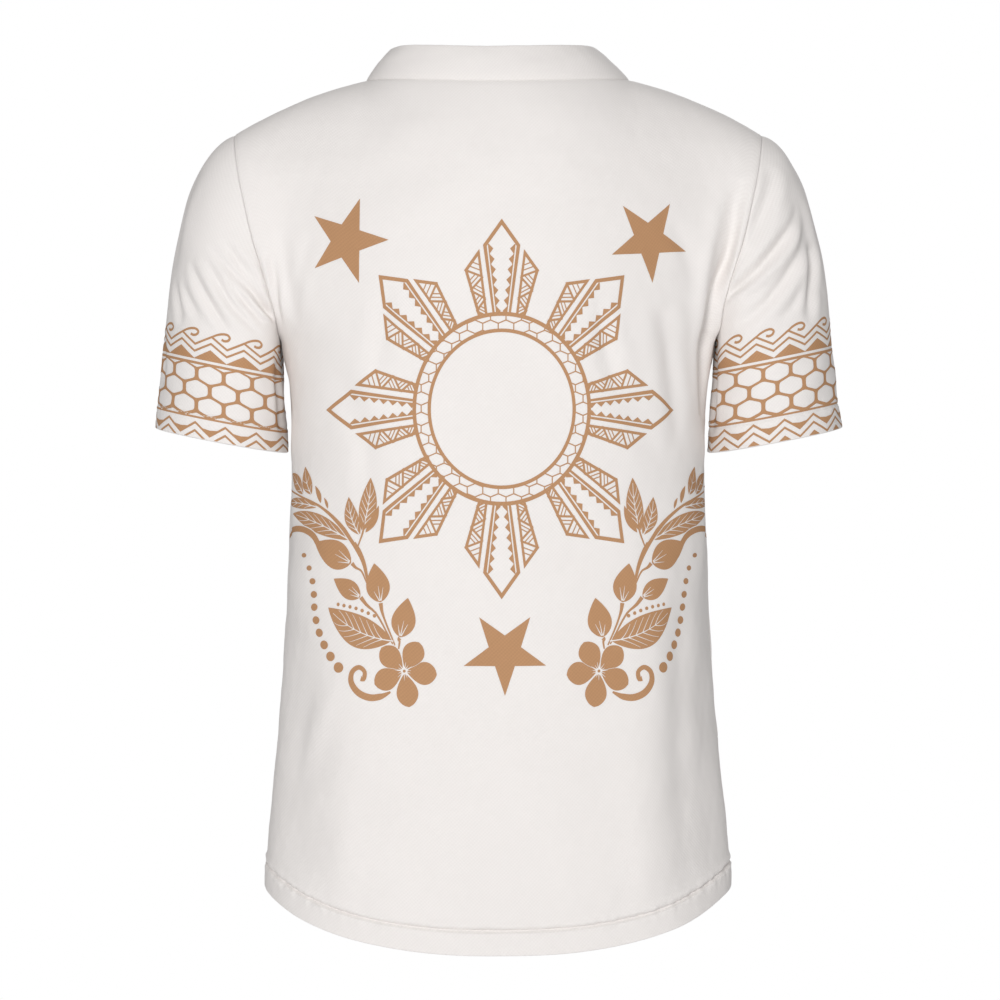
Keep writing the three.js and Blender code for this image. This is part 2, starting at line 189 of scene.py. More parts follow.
def makeRoom():
    bpy.context.scene.view_settings.view_transform = "Standard"
    world = bpy.data.worlds.new("studio")
    bpy.context.scene.world = world
    world.use_nodes = True
    world.node_tree.nodes.clear()
    wire = Wire(world.node_tree)
    seen = wire.node("ShaderNodeLightPath", {}, {}, "Is Camera Ray")
    white = (1, 1, 1, 1)
    dim = wire.node("ShaderNodeBackground", {}, {"Color": white, "Strength": roomSetup["ambient"]})
    bright = wire.node("ShaderNodeBackground", {}, {"Color": white, "Strength": 1.0})
    mixed = wire.node("ShaderNodeMixShader", {}, {0: seen, 1: dim, 2: bright})
    wire.node("ShaderNodeOutputWorld", {}, {"Surface": mixed})
    turns = np.linspace(0, 2 * math.pi, roomSetup["floorSides"] + 1)[:-1]
    radius, level = roomSetup["floorRadius"] * mm, roomSetup["floorLevel"] * mm
    points = [(radius * math.cos(turn), radius * math.sin(turn), level) for turn in turns]
    mesh = bpy.data.meshes.new("floor")
    mesh.from_pydata(points, [], [list(range(len(points)))])
    floor = bpy.data.objects.new("floor", mesh)
    bpy.context.scene.collection.objects.link(floor)
    mesh.materials.append(paperFinish(roomSetup["floorTone"]))


# The cut of the shirt, the same as the solids'

shirtCut = {
    "neckHalf": 113.5, "neckBack": 78, "neckBackDrop": 8,
    "veeDepth": 140, "veeForward": 126, "veeBow": 1.1, "veeRound": 0.85,
    "shoulderHalf": 225, "shoulderDrop": 46, "shoulderBow": 5.4, "shoulderRound": 2.3,
    "underarm": -222, "armholeDepth": 65, "armholeRound": 0.85, "frontScoop": 7,
    "sideLevel": -686, "backTail": 47, "frontTail": 36, "tailRound": 1.5,
    "wingReach": 40, "ringRound": 2.4, "neckShare": 14 / 32,
}
bodyRings = {
    "z": [-740, -675, -611, -525, -440, -324, -267, -222],
    "half": [195, 198, 193, 185.5, 180.5, 177, 178.4, 179.4],
    "back": [117, 117, 115, 113, 112, 114, 115.6, 116],
    "front": [133, 134, 132, 129, 127, 129, 130.6, 131],
}
armholeSeam = {
    "rise": [0, 0.1, 0.23, 0.35, 0.47, 0.6, 0.81, 1],
    "x": [186, 188, 193.5, 199.5, 206, 211.5, 219.5, 225],
}
sleeveCut = {
    "cuffOut": 237.2, "cuffForward": 6, "cuffLevel": -306.5, "cuffHalfWidth": 57.8,
    "cuffHalfDepth": 62, "cuffTilt": math.radians(10.7), "cuffNod": 3, "cuffRound": 2.15,
}
sleevePull = {
    "rise": [0, 0.5, 1], "out": [0, 95, 171], "back": [0, 12, 0], "down": [60, 150, 69],
    "endOut": [-5, 14, 33], "endDown": [95, 180, 247],
}
bandLean = {
    "place": [0, 0.5, 1, 1.4, 1.7, 2], "inward": [0, 12, 26, 16, 8, 0],
    "forward": [13, 10, 3, -11, -13, -13], "up": [31, 30.5, 27, 30, 37, 46],
}
clothMake = {
    "wall": 0.9, "hemDepth": 20, "hemRelief": 1.35, "cuffRelief": 0.35, "bandWall": 2.2,
    "bandBulge": 1.5, "bandSway": -3.9, "seamSink": 0.55, "seamWidth": 2.6, "edgeRound": 0.9,
    "doubleTo": 17, "singleFrom": 21, "seamCalm": 0.85, "calmWidth": 3,
}


def mix(start, end, share):
    return start + (end - start) * share


def smoothStep(at, low, high):
    share = np.clip((at - low) / (high - low), 0, 1)
    return share * share * (3 - 2 * share)


def hump(at, middle, width):  # a bell that is 1 in its middle
    return np.exp(-(((at - middle) / width) ** 2))


def readTable(table, key, at, column):  # a smooth curve through one column
    places = np.array(table[key], float)
    values = np.array(table[column], float)
    after = np.minimum(np.arange(len(places)) + 1, len(places) - 1)
    before = np.maximum(np.arange(len(places)) - 1, 0)
    slopes = (values[after] - values[before]) / (places[after] - places[before])
    at = np.clip(at, places[0], places[-1])
    k = np.clip(np.searchsorted(places, at, side="left") - 1, 0, len(places) - 2)
    span = places[k + 1] - places[k]
    s = (at - places[k]) / span
    rest = (1 - s) ** 2
    ends = values[k] * (1 + 2 * s) * rest + values[k + 1] * s * s * (3 - 2 * s)
    return ends + slopes[k] * span * s * rest + slopes[k + 1] * span * s * s * (s - 1)


def stack(x, y, z):
    return np.stack(np.broadcast_arrays(x, y, z), axis=-1).astype(float)


def flatStack(x, y):
    return np.stack(np.broadcast_arrays(x, y), axis=-1)


def unit(vectors):
    return vectors / np.maximum(np.linalg.norm(vectors, axis=-1, keepdims=True), 1e-9)


def hemLevel(face, u):
    tail = shirtCut["backTail"] if face < 0 else shirtCut["frontTail"]
    around = np.maximum(0, np.cos(u * math.pi / 2))
    return shirtCut["sideLevel"] - tail * around ** shirtCut["tailRound"]


def ringPoint(face, u, z):
    turn = u * math.pi / 2
    power = 2 / shirtCut["ringRound"]
    half = readTable(bodyRings, "z", z, "half")
    depth = readTable(bodyRings, "z", z, "back" if face < 0 else "front")
    across = np.sign(u) * np.abs(np.sin(turn)) ** power
    return stack(half * across, face * depth * np.abs(np.cos(turn)) ** power, z)


def neckline(face, share):
    if face < 0:
        away = np.cos(share * math.pi / 2)
        x = shirtCut["neckHalf"] * np.sin(share * math.pi / 2)
        return stack(x, -shirtCut["neckBack"] * away, -shirtCut["neckBackDrop"] * away**2)
    forward = shirtCut["veeForward"] * np.maximum(0, 1 - share**2) ** shirtCut["veeRound"]
    drop = shirtCut["veeDepth"] * np.maximum(0, 1 - share) ** shirtCut["veeBow"]
    return stack(shirtCut["neckHalf"] * share, forward, -drop)


def topEdge(face, u):
    share, side, neck = np.abs(u), np.sign(u), shirtCut["neckShare"]
    inner = neckline(face, np.minimum(share / neck, 1))
    inner[..., 0] *= side
    along = np.clip((share - neck) / (1 - neck), 0, 1)
    x = side * mix(shirtCut["neckHalf"], shirtCut["shoulderHalf"], along)
    bow = shirtCut["shoulderBow"] * np.sin(math.pi * along)
    outer = stack(x, 0 * x, bow - shirtCut["shoulderDrop"] * along)
    return np.where((share < neck)[..., None], inner, outer)


def armhole(face, rise):
    swell = (2 * np.sqrt(np.maximum(0, rise * (1 - rise)))) ** shirtCut["armholeRound"]
    scoop = shirtCut["frontScoop"] * swell**2 if face > 0 else 0
    x = readTable(armholeSeam, "rise", rise, "x") - scoop
    z = mix(shirtCut["underarm"], -shirtCut["shoulderDrop"], rise)
    return stack(x, face * shirtCut["armholeDepth"] * swell, z)


def yokePoint(face, u, rise):  # a column above the underarm turns over the shoulder
    foot = ringPoint(face, u, np.full_like(u, shirtCut["underarm"]))
    top = topEdge(face, u)
    power = shirtCut["shoulderRound"]
    flat = np.abs(foot[..., 1]) < 1e-9
    left = np.minimum(1, np.where(flat, 0, top[..., 1] / np.where(flat, 1, foot[..., 1])))
    reach = (1 - left**power) ** (1 / power)
    arc = 1 - np.maximum(0, 1 - (reach * rise) ** power) ** (1 / power)
    return foot + (top - foot) * stack(arc / (1 - left), arc / (1 - left), rise)


def panelForm(face, u, level):  # level 0 is the hem, 1 the underarm, 2 the upper edge
    u, level = np.broadcast_arrays(np.asarray(u, float), np.asarray(level, float))
    side = np.where(u < 0, -1.0, 1.0)
    rise = np.maximum(0, level - 1)
    seam = armhole(face, rise) * stack(side, 1, 1)
    toSeam = (seam - yokePoint(face, side, rise)) * (u**4)[..., None]
    z = mix(hemLevel(face, u), shirtCut["underarm"], level)
    wing = 1 - smoothStep(shirtCut["underarm"] - z, 0, shirtCut["wingReach"])
    body = ringPoint(face, u, np.minimum(z, shirtCut["underarm"])) + toSeam * wing[..., None]
    return np.where((level > 1)[..., None], yokePoint(face, u, rise) + toSeam, body)


def edgeNormal(face, u):  # the way out of the cloth along a panel's upper edge
    step = 0.004
    neck = shirtCut["neckShare"]
    inside = np.clip(u, -neck + step, neck - step)
    level = np.full_like(inside, 2 - step)
    across = panelForm(face, inside + step, level) - panelForm(face, inside - step, level)
    upward = panelForm(face, inside, level + step) - panelForm(face, inside, level - step)
    out = unit(np.cross(across, upward)) * -face
    slope = stack(shirtCut["shoulderDrop"] * np.sign(u), 0, shirtCut["shoulderHalf"] - shirtCut["neckHalf"])
    return np.where((np.abs(u) >= neck)[..., None], unit(slope), out)


def armholeSink(points):  # towards the middle of the armhole, the same for both pieces
    middle = (shirtCut["underarm"] - shirtCut["shoulderDrop"]) / 2
    return -unit(stack(0, points[..., 1], points[..., 2] - middle))


def sleeveChain(turn):  # one column from the cuff up: distances and points
    face = -1 if math.sin(turn) >= 0 else 1
    rise = (1 - math.cos(turn)) / 2
    power = 2 / sleeveCut["cuffRound"]
    outward = -math.copysign(abs(math.cos(turn)) ** power, math.cos(turn))
    around = face * abs(math.sin(turn)) ** power
    wide, tilt = sleeveCut["cuffHalfWidth"] * outward, sleeveCut["cuffTilt"]
    start = armhole(face, np.array(rise))
    end = np.array([
        sleeveCut["cuffOut"] + wide * math.cos(tilt),
        sleeveCut["cuffForward"] + sleeveCut["cuffHalfDepth"] * around,
        sleeveCut["cuffLevel"] + wide * math.sin(tilt) + sleeveCut["cuffNod"] * around,
    ])
    pull = {column: float(readTable(sleevePull, "rise", rise, column)) for column in sleevePull}
    leave = np.array([pull["out"], face * pull["back"], -pull["down"]])
    arrive = np.array([pull["endOut"], 0, -pull["endDown"]])
    s = np.linspace(1, 0, 121)[:, None]
    rest = (1 - s) ** 2
    points = start * (1 + 2 * s) * rest + leave * s * rest
    points = points + end * s * s * (3 - 2 * s) + arrive * s * s * (s - 1)
    run = np.concatenate([[0], np.cumsum(np.linalg.norm(np.diff(points, axis=0), axis=1))])
    return run, points


# Creases: soft troughs and ridges along bowed lines, in the cloth's own millimetres.
# Across is measured from the centre line on a panel, and round the cuff from the underarm by
# way of the back on a sleeve. Up is the level on a panel, and the distance from the cuff on a
# sleeve. A negative depth is a trough, and peak is where along its length it is deepest.

creaseColumns = ("across1", "up1", "across2", "up2", "bow", "width", "depth", "peak")
backCreases = [
    (215, -88, 205, -290, 14, 8, -10.0, 0.5), (210, -118, 196, -190, 0, 3.8, -5.0, 0.6),
    (148, -122, 170, -182, -4, 8, -1.3, 0.5), (140, -196, 160, -318, -3, 9, -3.0, 0.4),
    (84, -186, 102, -268, 3, 7, -2.2, 0.5), (-96, -176, -104, -262, -3, 8, -1.8, 0.5),
    (74, -212, 150, -334, 6, 12, -1.3, 0.5), (168, -405, 170, -714, 4, 19, -5.0, 0.45),
    (206, -400, 200, -714, 0, 34, -9.5, 0.55),
    (120, -520, 116, -716, 5, 18, 1.8, 0.6), (-188, -128, -178, -215, 4, 8, -3.0, 0.5),
    (-200, -150, -204, -212, -3, 3.8, -3.6, 0.5), (-162, -136, -176, -194, 3, 6, -1.1, 0.5),
    (-152, -238, -106, -340, -8, 11, -1.5, 0.5), (-112, -298, -100, -384, 4, 9, -1.2, 0.5),
    (-140, -508, -182, -596, 3, 11, 1.7, 0.5), (-186, -450, -182, -704, 4, 36, -6.5, 0.55),
    (-126, -570, -134, -706, 0, 14, 1.3, 0.6), (100, -590, 106, -712, -3, 12, -1.2, 0.6),
    (34, -610, 40, -724, 3, 15, -0.9, 0.6), (-62, -600, -70, -722, -3, 15, -1.1, 0.6),
    (-228, -240, -214, -420, 4, 10, -2.0, 0.4), (226, -290, 214, -430, -5, 10, -2.4, 0.5),
]
frontCreases = [
    (-222, -100, -196, -285, -22, 11, -6.0, 0.5), (222, -110, 198, -270, 20, 11, -5.0, 0.5),
    (-206, -126, -196, -190, -3, 4.5, -2.2, 0.5), (208, -132, 200, -196, 3, 4.5, -2.0, 0.5),
    (170, -420, 166, -684, 8, 20, -4.4, 0.5), (-168, -450, -176, -684, -8, 22, -5.0, 0.55),
    (-60, -320, -84, -560, 10, 17, -2.2, 0.5), (95, -250, 124, -430, 8, 14, -2.0, 0.4),
    (-150, -200, -118, -330, -6, 11, -1.8, 0.4), (60, -560, 52, -716, 4, 16, -1.4, 0.6),
    (-30, -600, -22, -718, 4, 15, -1.0, 0.6), (120, -560, 128, -708, -4, 15, 1.5, 0.6),
    (-118, -560, -110, -708, 4, 14, 1.3, 0.6), (-206, -480, -202, -676, 0, 13, -2.4, 0.5),
    (206, -500, 204, -676, 0, 12, -2.0, 0.5), (-100, -130, -130, -200, 5, 10, -1.2, 0.4),
]
leftSleeveCreases = [
    (124, 165, 42, 114, -2.7, 3.4, -4.8, 0.6), (71, 126, 40, 113, -0.7, 2.8, -3.6, 0.6),
    (114, 168, 65, 130, 0.8, 4.0, -3.8, 0.5), (137, 145, 83, 90, -1.9, 4.0, -3.4, 0.45),
    (119, 148, 56, 97, -4.6, 3.6, -2.8, 0.5), (99, 140, 54, 105, -1.4, 3.4, -2.8, 0.5),
    (146, 127, 116, 99, -0.2, 3.6, -2.0, 0.5), (161, 128, 136, 92, 1.6, 4.4, -2.4, 0.5),
    (179, 84, 164, 34, 4.6, 6.0, -1.8, 0.5), (84, 63, 64, 42, -0.2, 4.5, -1.2, 0.5),
    (98, 70, 84, 56, 0, 4.0, -0.9, 0.5), (27, 80, 21, 14, -1.3, 6.0, -2.6, 0.5),
    (-40, 104, -132, 176, -5, 4.6, -4.6, 0.3), (-70, 88, -140, 146, -4, 5.2, -3.4, 0.5),
    (-52, 88, -84, 124, -3, 4.0, -2.6, 0.5), (-84, 150, -122, 200, 3, 6.5, -2.2, 0.4),
    (166, 130, 176, 226, 2, 9.0, -2.0, 0.5), (-160, 110, -172, 190, -2, 8.0, -2.0, 0.5),
]
rightSleeveCreases = [
    (147, 192, 51, 130, -7.6, 4.4, -5.4, 0.5), (90, 144, 52, 130, -1.1, 3.0, -2.8, 0.6),
    (146, 170, 59, 102, -7.2, 5.2, -4.6, 0.45), (161, 162, 129, 94, 2.1, 5.4, -4.4, 0.5),
    (144, 232, 92, 168, -1.6, 5.0, -4.0, 0.5), (154, 200, 147, 112, 1.4, 10.0, -4.4, 0.5),
    (70, 122, 112, 146, 3, 3.6, -1.2, 0.5), (98, 100, 130, 128, 3, 4.0, -1.2, 0.5),
    (12, 84, 16, 12, -2.0, 7.0, -3.4, 0.5),
    (-38, 104, -136, 184, -6, 5.5, -4.4, 0.35), (-66, 86, -146, 150, -5, 6.0, -3.0, 0.5),
    (-86, 152, -126, 206, 4, 7.0, -2.2, 0.4), (-54, 86, -82, 120, -3, 4.5, -1.8, 0.5),
    (170, 116, 178, 220, 2, 9.0, -1.8, 0.5), (-160, 112, -174, 196, -2, 8.0, -1.8, 0.5),
]
creaseForm = {"shoulder": 0.34, "shoulderAt": 1.9, "shoulderWidth": 1.0, "broad": 9.0, "ends": 0.8}
softForm = {"height": 0.5, "size": 62, "fine": 0.12, "fineSize": 21}


def creaseHeight(rows, across, up):
    height = np.zeros(np.broadcast(across, up).shape)
    for values in rows:
        row = dict(zip(creaseColumns, values))
        run = (row["across2"] - row["across1"], row["up2"] - row["up1"])
        length = math.hypot(*run)
        x, y = across - row["across1"], up - row["up1"]
        along = np.clip((x * run[0] + y * run[1]) / length**2, 0, 1)
        beside = (x * run[1] - y * run[0]) / length - row["bow"] * 4 * along * (1 - along)
        skew = math.log(0.5) / math.log(row["peak"])
        envelope = np.sin(math.pi * along**skew) ** creaseForm["ends"]
        q = np.abs(beside / row["width"])
        rim = hump(q, creaseForm["shoulderAt"], creaseForm["shoulderWidth"])
        rim = rim * creaseForm["shoulder"] * min(1, creaseForm["broad"] / row["width"])
        height += row["depth"] * envelope * (np.exp(-(q**2)) - rim)
    return height


def softNoise(across, up, size, seed):  # an even, slow unevenness between about -1 and 1
    draw = np.random.default_rng(seed)
    total = 0
    for _ in range(9):
        angle = draw.uniform(0, 2 * math.pi)
        rate = draw.uniform(0.55, 1.5) * 2 * math.pi / size
        slant = across * math.cos(angle) + up * math.sin(angle)
        total = total + np.sin(slant * rate + draw.uniform(0, 2 * math.pi))
    return total / 3


# Hems: rows close together up to the stitching, then a groove, a ridge and small puckers

hemRows = [
    0, 0.15, 0.4, 0.8, 1.4, 2.2, 3.2, 4.4, 6, 8, 10, 12, 13.8, 15.4, 16.8, 17.8, 18.6, 19.3,
    19.9, 20.4, 20.9, 21.4, 21.9, 22.5, 23.2, 24, 25, 26.2, 27.6, 29.2, 31, 33, 35.2, 37.6, 40,
]
hemForm = {  # heights are shares of the hem's relief, and places are distances above the stitches
    "step": 1.6, "groove": 1.4, "grooveAt": 0.8, "grooveWidth": 1.15,
    "ridge": 0.7, "ridgeAt": 5.0, "ridgeWidth": 2.6,
    "pucker": 0.4, "puckerSize": 7.5, "puckerReach": 5.5, "puckerLean": 0.35, "puckerLeast": 0.3,
}


def edgeRounding(distance, radius):  # how far a rounded edge falls back
    turn = np.clip(1 - distance / radius, 0, 1)
    return radius * (1 - np.sqrt(1 - turn**2))


def hemHeight(up, across, relief, seed):
    above = up - clothMake["hemDepth"]
    height = 1 - smoothStep(above, -hemForm["step"], 0)
    height = height - hemForm["groove"] * hump(above, hemForm["grooveAt"], hemForm["grooveWidth"])
    height = height + hemForm["ridge"] * hump(above, hemForm["ridgeAt"], hemForm["ridgeWidth"])
    pucker = softNoise(across, up * hemForm["puckerLean"], hemForm["puckerSize"], seed)
    pucker = pucker * hump(above, 0, hemForm["puckerReach"]) * hemForm["pucker"]
    rounding = edgeRounding(up, clothMake["edgeRound"])
    return relief * height + pucker * (relief + hemForm["puckerLeast"]) - rounding


def hemThickness(up):  # two layers below the stitches
    return clothMake["wall"] * (2 - smoothStep(up, clothMake["doubleTo"], clothMake["singleFrom"]))


# Cloth meshes

pieces = {}


def crossing(points, tube):
    padded = np.concatenate([points[:, -1:], points, points[:, :1]], axis=1) if tube else points
    across = np.gradient(padded, axis=1)
    across = across[:, 1:-1] if tube else across
    return unit(np.cross(across, np.gradient(points, axis=0)))


def gridNormals(points, tube, outward):
    normal = crossing(points, tube)
    return normal * np.sign(np.sum(normal * outward))


def makeWall(name, cloth, tube):  # a fine outer face and a coarser inner one
    outer = cloth["points"]
    inwards = cloth.get("inwards", cloth["normals"])
    wide, rows, columns = outer.shape[1], outer.shape[0] - 1, cloth["across"].shape[1] - 1
    innerWide = columns // 2 + (0 if tube else 1)
    inner = (outer - inwards * cloth["thick"][..., None])[::2, ::2][:, :innerWide]
    points = np.concatenate([outer.reshape(-1, 3), inner.reshape(-1, 3)])
    base = outer.shape[0] * wide
    turned = np.sum(crossing(outer, tube) * cloth["normals"]) < 0
    faces, corners = [], []

    def add(*places):  # each place is a row, a column and whether it is on the inner face
        for i, j, deep in reversed(places) if turned else places:
            fine = i * wide + j % wide
            corners.append((base + (i // 2) * innerWide + (j // 2) % innerWide if deep else fine, i, j))
        faces.append([corner[0] for corner in corners[-len(places) :]])

    for i in range(rows):
        for j in range(columns):
            add((i, j, 0), (i, j + 1, 0), (i + 1, j + 1, 0), (i + 1, j, 0))
    for i in range(0, rows, 2):
        for j in range(0, columns, 2):
            add((i, j, 1), (i + 2, j, 1), (i + 2, j + 2, 1), (i, j + 2, 1))
    end, last = rows, columns
    for j in range(0, columns, 2):
        add((0, j + 2, 0), (0, j + 1, 0), (0, j, 0), (0, j, 1), (0, j + 2, 1))
        add((end, j, 0), (end, j + 1, 0), (end, j + 2, 0), (end, j + 2, 1), (end, j, 1))
    for i in range(0, 0 if tube else rows, 2):
        add((i, 0, 0), (i + 1, 0, 0), (i + 2, 0, 0), (i + 2, 0, 1), (i, 0, 1))
        add((i + 2, last, 0), (i + 1, last, 0), (i, last, 0), (i, last, 1), (i + 2, last, 1))
    spots = np.array(corners)[:, 1:]
    uv = np.stack([cloth[key][spots[:, 0], spots[:, 1]] for key in ("across", "up")], axis=-1)
    return meshObject(name, points * mm, faces, uv)


def meshObject(name, points, faces, uv):
    mesh = bpy.data.meshes.new(name)
    mesh.from_pydata(points.tolist(), [], faces)
    layer = mesh.uv_layers.new(name="cloth")
    layer.data.foreach_set("uv", np.asarray(uv, np.float32).ravel())
    mesh.shade_smooth()
    made = bpy.data.objects.new(name, mesh)
    bpy.context.scene.collection.objects.link(made)
    return made


def finishPiece(made, material, nodes=()):
    made.data.materials.append(material)
    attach(made, "root")
    if nodes:
        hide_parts(*nodes)
    triangles = sum(len(face.vertices) - 2 for face in made.data.polygons)
    print(made.name, triangles, "triangles")
    return made


# The two panels

panelGrid = {
    "inside": 54, "outside": 50, "bodyRows": 180, "yokeRows": 116, "yokeColumn": 0.72,
    "easeReach": 14, "easeTurns": 26, "easeEdge": 7, "calmTop": 0.5, "calmFrom": 1.8,
    "cornerReach": 15,
}


def evenShares(points, count):  # shares along a dense polyline, equal in length
    run = np.concatenate([[0], np.cumsum(np.linalg.norm(np.diff(points, axis=0), axis=1))])
    return np.interp(np.linspace(0, run[-1], count + 1), run, np.linspace(0, 1, len(run)))


def panelPlaces(face):  # the columns' places, and each one's levels from the hem up
    neck = shirtCut["neckShare"]
    dense = np.linspace(0, 1, 600)
    column = np.full_like(dense, panelGrid["yokeColumn"])
    inside = evenShares(panelForm(face, dense * neck, 0.5), panelGrid["inside"]) * neck
    outside = evenShares(panelForm(face, mix(neck, 1, dense), 0.5), panelGrid["outside"])
    half = np.concatenate([inside, mix(neck, 1, outside[1:])])
    u = np.concatenate([-half[:0:-1], half])
    height = shirtCut["underarm"] - hemLevel(face, u)
    ups = np.array(hemRows, float)[:, None] * np.ones_like(u)
    shares = np.linspace(0, 1, panelGrid["bodyRows"] + 1)[1:, None]
    body = np.concatenate([ups, mix(ups[-1:], height, shares)]) / height
    yoke = evenShares(panelForm(face, column, 1 + dense), panelGrid["yokeRows"])
    levels = np.concatenate([body, 1 + yoke[1:, None] * np.ones_like(u)])
    return u, levels


def runAlong(points, axis):
    steps = np.linalg.norm(np.diff(points, axis=axis), axis=-1)
    return np.concatenate([np.zeros_like(steps.take([0], axis)), np.cumsum(steps, axis)], axis)


def seamDip(distance):
    return clothMake["seamSink"] * hump(distance, 0, clothMake["seamWidth"])


def seamCalm(distance):  # creases die away at a seam
    return 1 - clothMake["seamCalm"] * hump(distance, 0, clothMake["calmWidth"])


def easeRows(points, middle):  # rounds the turn at the underarm's level, but not at the seams
    low, high = middle - panelGrid["easeReach"], middle + panelGrid["easeReach"]
    columns = np.arange(points.shape[1])
    fade = smoothStep(np.minimum(columns, columns[::-1]), 0, panelGrid["easeEdge"])[:, None]
    eased = points.copy()
    for _ in range(panelGrid["easeTurns"]):
        ends = eased[low - 1 : high - 1] + eased[low + 1 : high + 1]
        eased[low:high] = eased[low:high] / 2 + ends / 4
    return points + (eased - points) * fade


def makePanel(face, creases, seed):
    u, levels = panelPlaces(face)
    places = np.broadcast_to(u, levels.shape)
    base = easeRows(panelForm(face, places, levels), len(hemRows) - 1 + panelGrid["bodyRows"])
    outward = base * (1, 1, 0)
    middle = len(u) // 2
    across = runAlong(base, 1)
    across = across - across[:, middle : middle + 1]
    up = runAlong(base, 0)
    z = base[..., 2]
    normals = gridNormals(base, False, outward)
    height = creaseHeight(creases, across, z)
    height = height + softForm["height"] * softNoise(across, z, softForm["size"], seed)
    height += softForm["fine"] * softNoise(across, z, softForm["fineSize"], seed + 1)
    height *= mix(panelGrid["calmTop"], 1, smoothStep(levels, 2, panelGrid["calmFrom"]))
    height += hemHeight(up, across, clothMake["hemRelief"], seed + 2)
    side = np.where(places < 0, -1, 1)
    toSide = np.abs(across[:, -1:] * (side > 0) + across[:, :1] * (side < 0) - across)
    toTop = up[-1:] - up
    fromCorner = smoothStep(z, shirtCut["underarm"] - panelGrid["cornerReach"], shirtCut["underarm"])
    sideSink = mix(-normals, armholeSink(base), fromCorner[..., None])
    height *= seamCalm(toSide)
    height *= seamCalm(toTop)
    topSink = -edgeNormal(face, places)
    points = base + normals * height[..., None]
    points = points + sideSink * seamDip(toSide)[..., None] + topSink * seamDip(toTop)[..., None]
    cloth = {"points": points, "across": across, "up": up, "level": z, "print": across}
    cloth["normals"] = gridNormals(points, False, outward)
    cloth["thick"] = hemThickness(up)
    return cloth


# The two sleeves: closed rounds of columns, from the cuff up to the armhole

sleeveForm = {
    "columns": 210, "hemTo": 30, "evenTo": 70, "evenStep": 2, "topRows": 74, "radius": 60,
    "softSize": 55, "softLean": 0.4, "puckerLean": 55, "seamDepth": 0.5, "seamWidth": 1.6,
}


def sleeveUps(length):
    low = [up for up in hemRows if up <= sleeveForm["hemTo"]]
    even = np.arange(sleeveForm["hemTo"], sleeveForm["evenTo"] + 1, sleeveForm["evenStep"])[1:]
    top = np.linspace(sleeveForm["evenTo"], length, sleeveForm["topRows"] + 1)[1:]
    ups = np.concatenate([low, even, top])
    return ups if len(ups) % 2 else np.concatenate([ups[:1], ups[2:]])


def sleeveTurns():  # turns whose places round the cuff are equally far apart
    dense = np.linspace(0, 2 * math.pi, 721)
    cuff = np.array([sleeveChain(turn)[1][0] for turn in dense])
    run = np.concatenate([[0], np.cumsum(np.linalg.norm(np.diff(cuff, axis=0), axis=1))])
    even = np.linspace(0, run[-1], sleeveForm["columns"] + 1)
    return np.interp(even, run, dense), even


def makeSleeve(side, creases, seed):
    turns, rounds = sleeveTurns()
    columns, ups = [], []
    for turn in turns[:-1]:
        run, chain = sleeveChain(turn)
        up = sleeveUps(run[-1])
        columns.append(np.stack([np.interp(up, run, chain[:, k]) for k in range(3)], axis=-1))
        ups.append(up)
    base, up = np.stack(columns, axis=1) * (side, 1, 1), np.stack(ups, axis=1)
    across = np.broadcast_to(rounds[:-1], up.shape)
    lap = rounds[-1]
    outward = base - base.mean(axis=1, keepdims=True)
    normals = gridNormals(base, True, outward)
    height = sum(creaseHeight(creases, across + lap * k, up) for k in (-1, 0, 1))
    turn = across * (2 * math.pi / lap)
    ringX, ringY = sleeveForm["radius"] * np.cos(turn), sleeveForm["radius"] * np.sin(turn)
    soft = softNoise(ringX + up * sleeveForm["softLean"], ringY + up, sleeveForm["softSize"], seed)
    height += softForm["height"] * soft
    toTop = up[-1:] - up
    height *= seamCalm(toTop)
    slanted = ringX + sleeveForm["puckerLean"] * np.sin(turn)
    height += hemHeight(up, slanted, clothMake["cuffRelief"], seed + 1)
    height -= sleeveForm["seamDepth"] * hump(np.minimum(across, lap - across), 0, sleeveForm["seamWidth"])
    points = base + normals * height[..., None] + armholeSink(base) * seamDip(toTop)[..., None]
    even = runAlong(np.concatenate([base, base[:, :1]], axis=1), 1)
    even = even / even[:, -1:] * lap
    lapped = np.concatenate([up, up[:, :1]], axis=1)
    cloth = {"points": points, "across": even, "up": lapped, "level": lapped, "print": printRun(even)}
    cloth["normals"] = gridNormals(points, True, outward)
    cloth["thick"] = hemThickness(up)
    return cloth


# The neckband: a doubled strip that stands on the neckline all the way round

bandForm = {
    "back": 104, "front": 78, "rows": 24, "topRound": 1.0, "closeness": 1.25,
    "soft": 0.35, "softSize": 34, "fine": 0.12, "fineSize": 9, "seed": 91,
}


def bandSeam(turn):  # turn 0 to 1 is the back, 1 to 2 the front
    share = np.where(turn <= 1, 2 * turn - 1, 3 - 2 * turn)
    apart, side = np.abs(share), np.where(share < 0, -1.0, 1.0)
    behind = turn <= 1
    seam = np.where(behind[:, None], neckline(-1, apart), neckline(1, apart))
    seam = seam * stack(side, 1, 1)
    place = np.where(behind, apart, 2 - apart)
    read = {column: readTable(bandLean, "place", place, column) for column in ("inward", "forward", "up")}
    inwards = clothMake["bandSway"] - side * read["inward"]
    u = share * shirtCut["neckShare"]
    out = np.where(behind[:, None], edgeNormal(-1, u), edgeNormal(1, u))
    return seam, stack(inwards, read["forward"], read["up"]), out


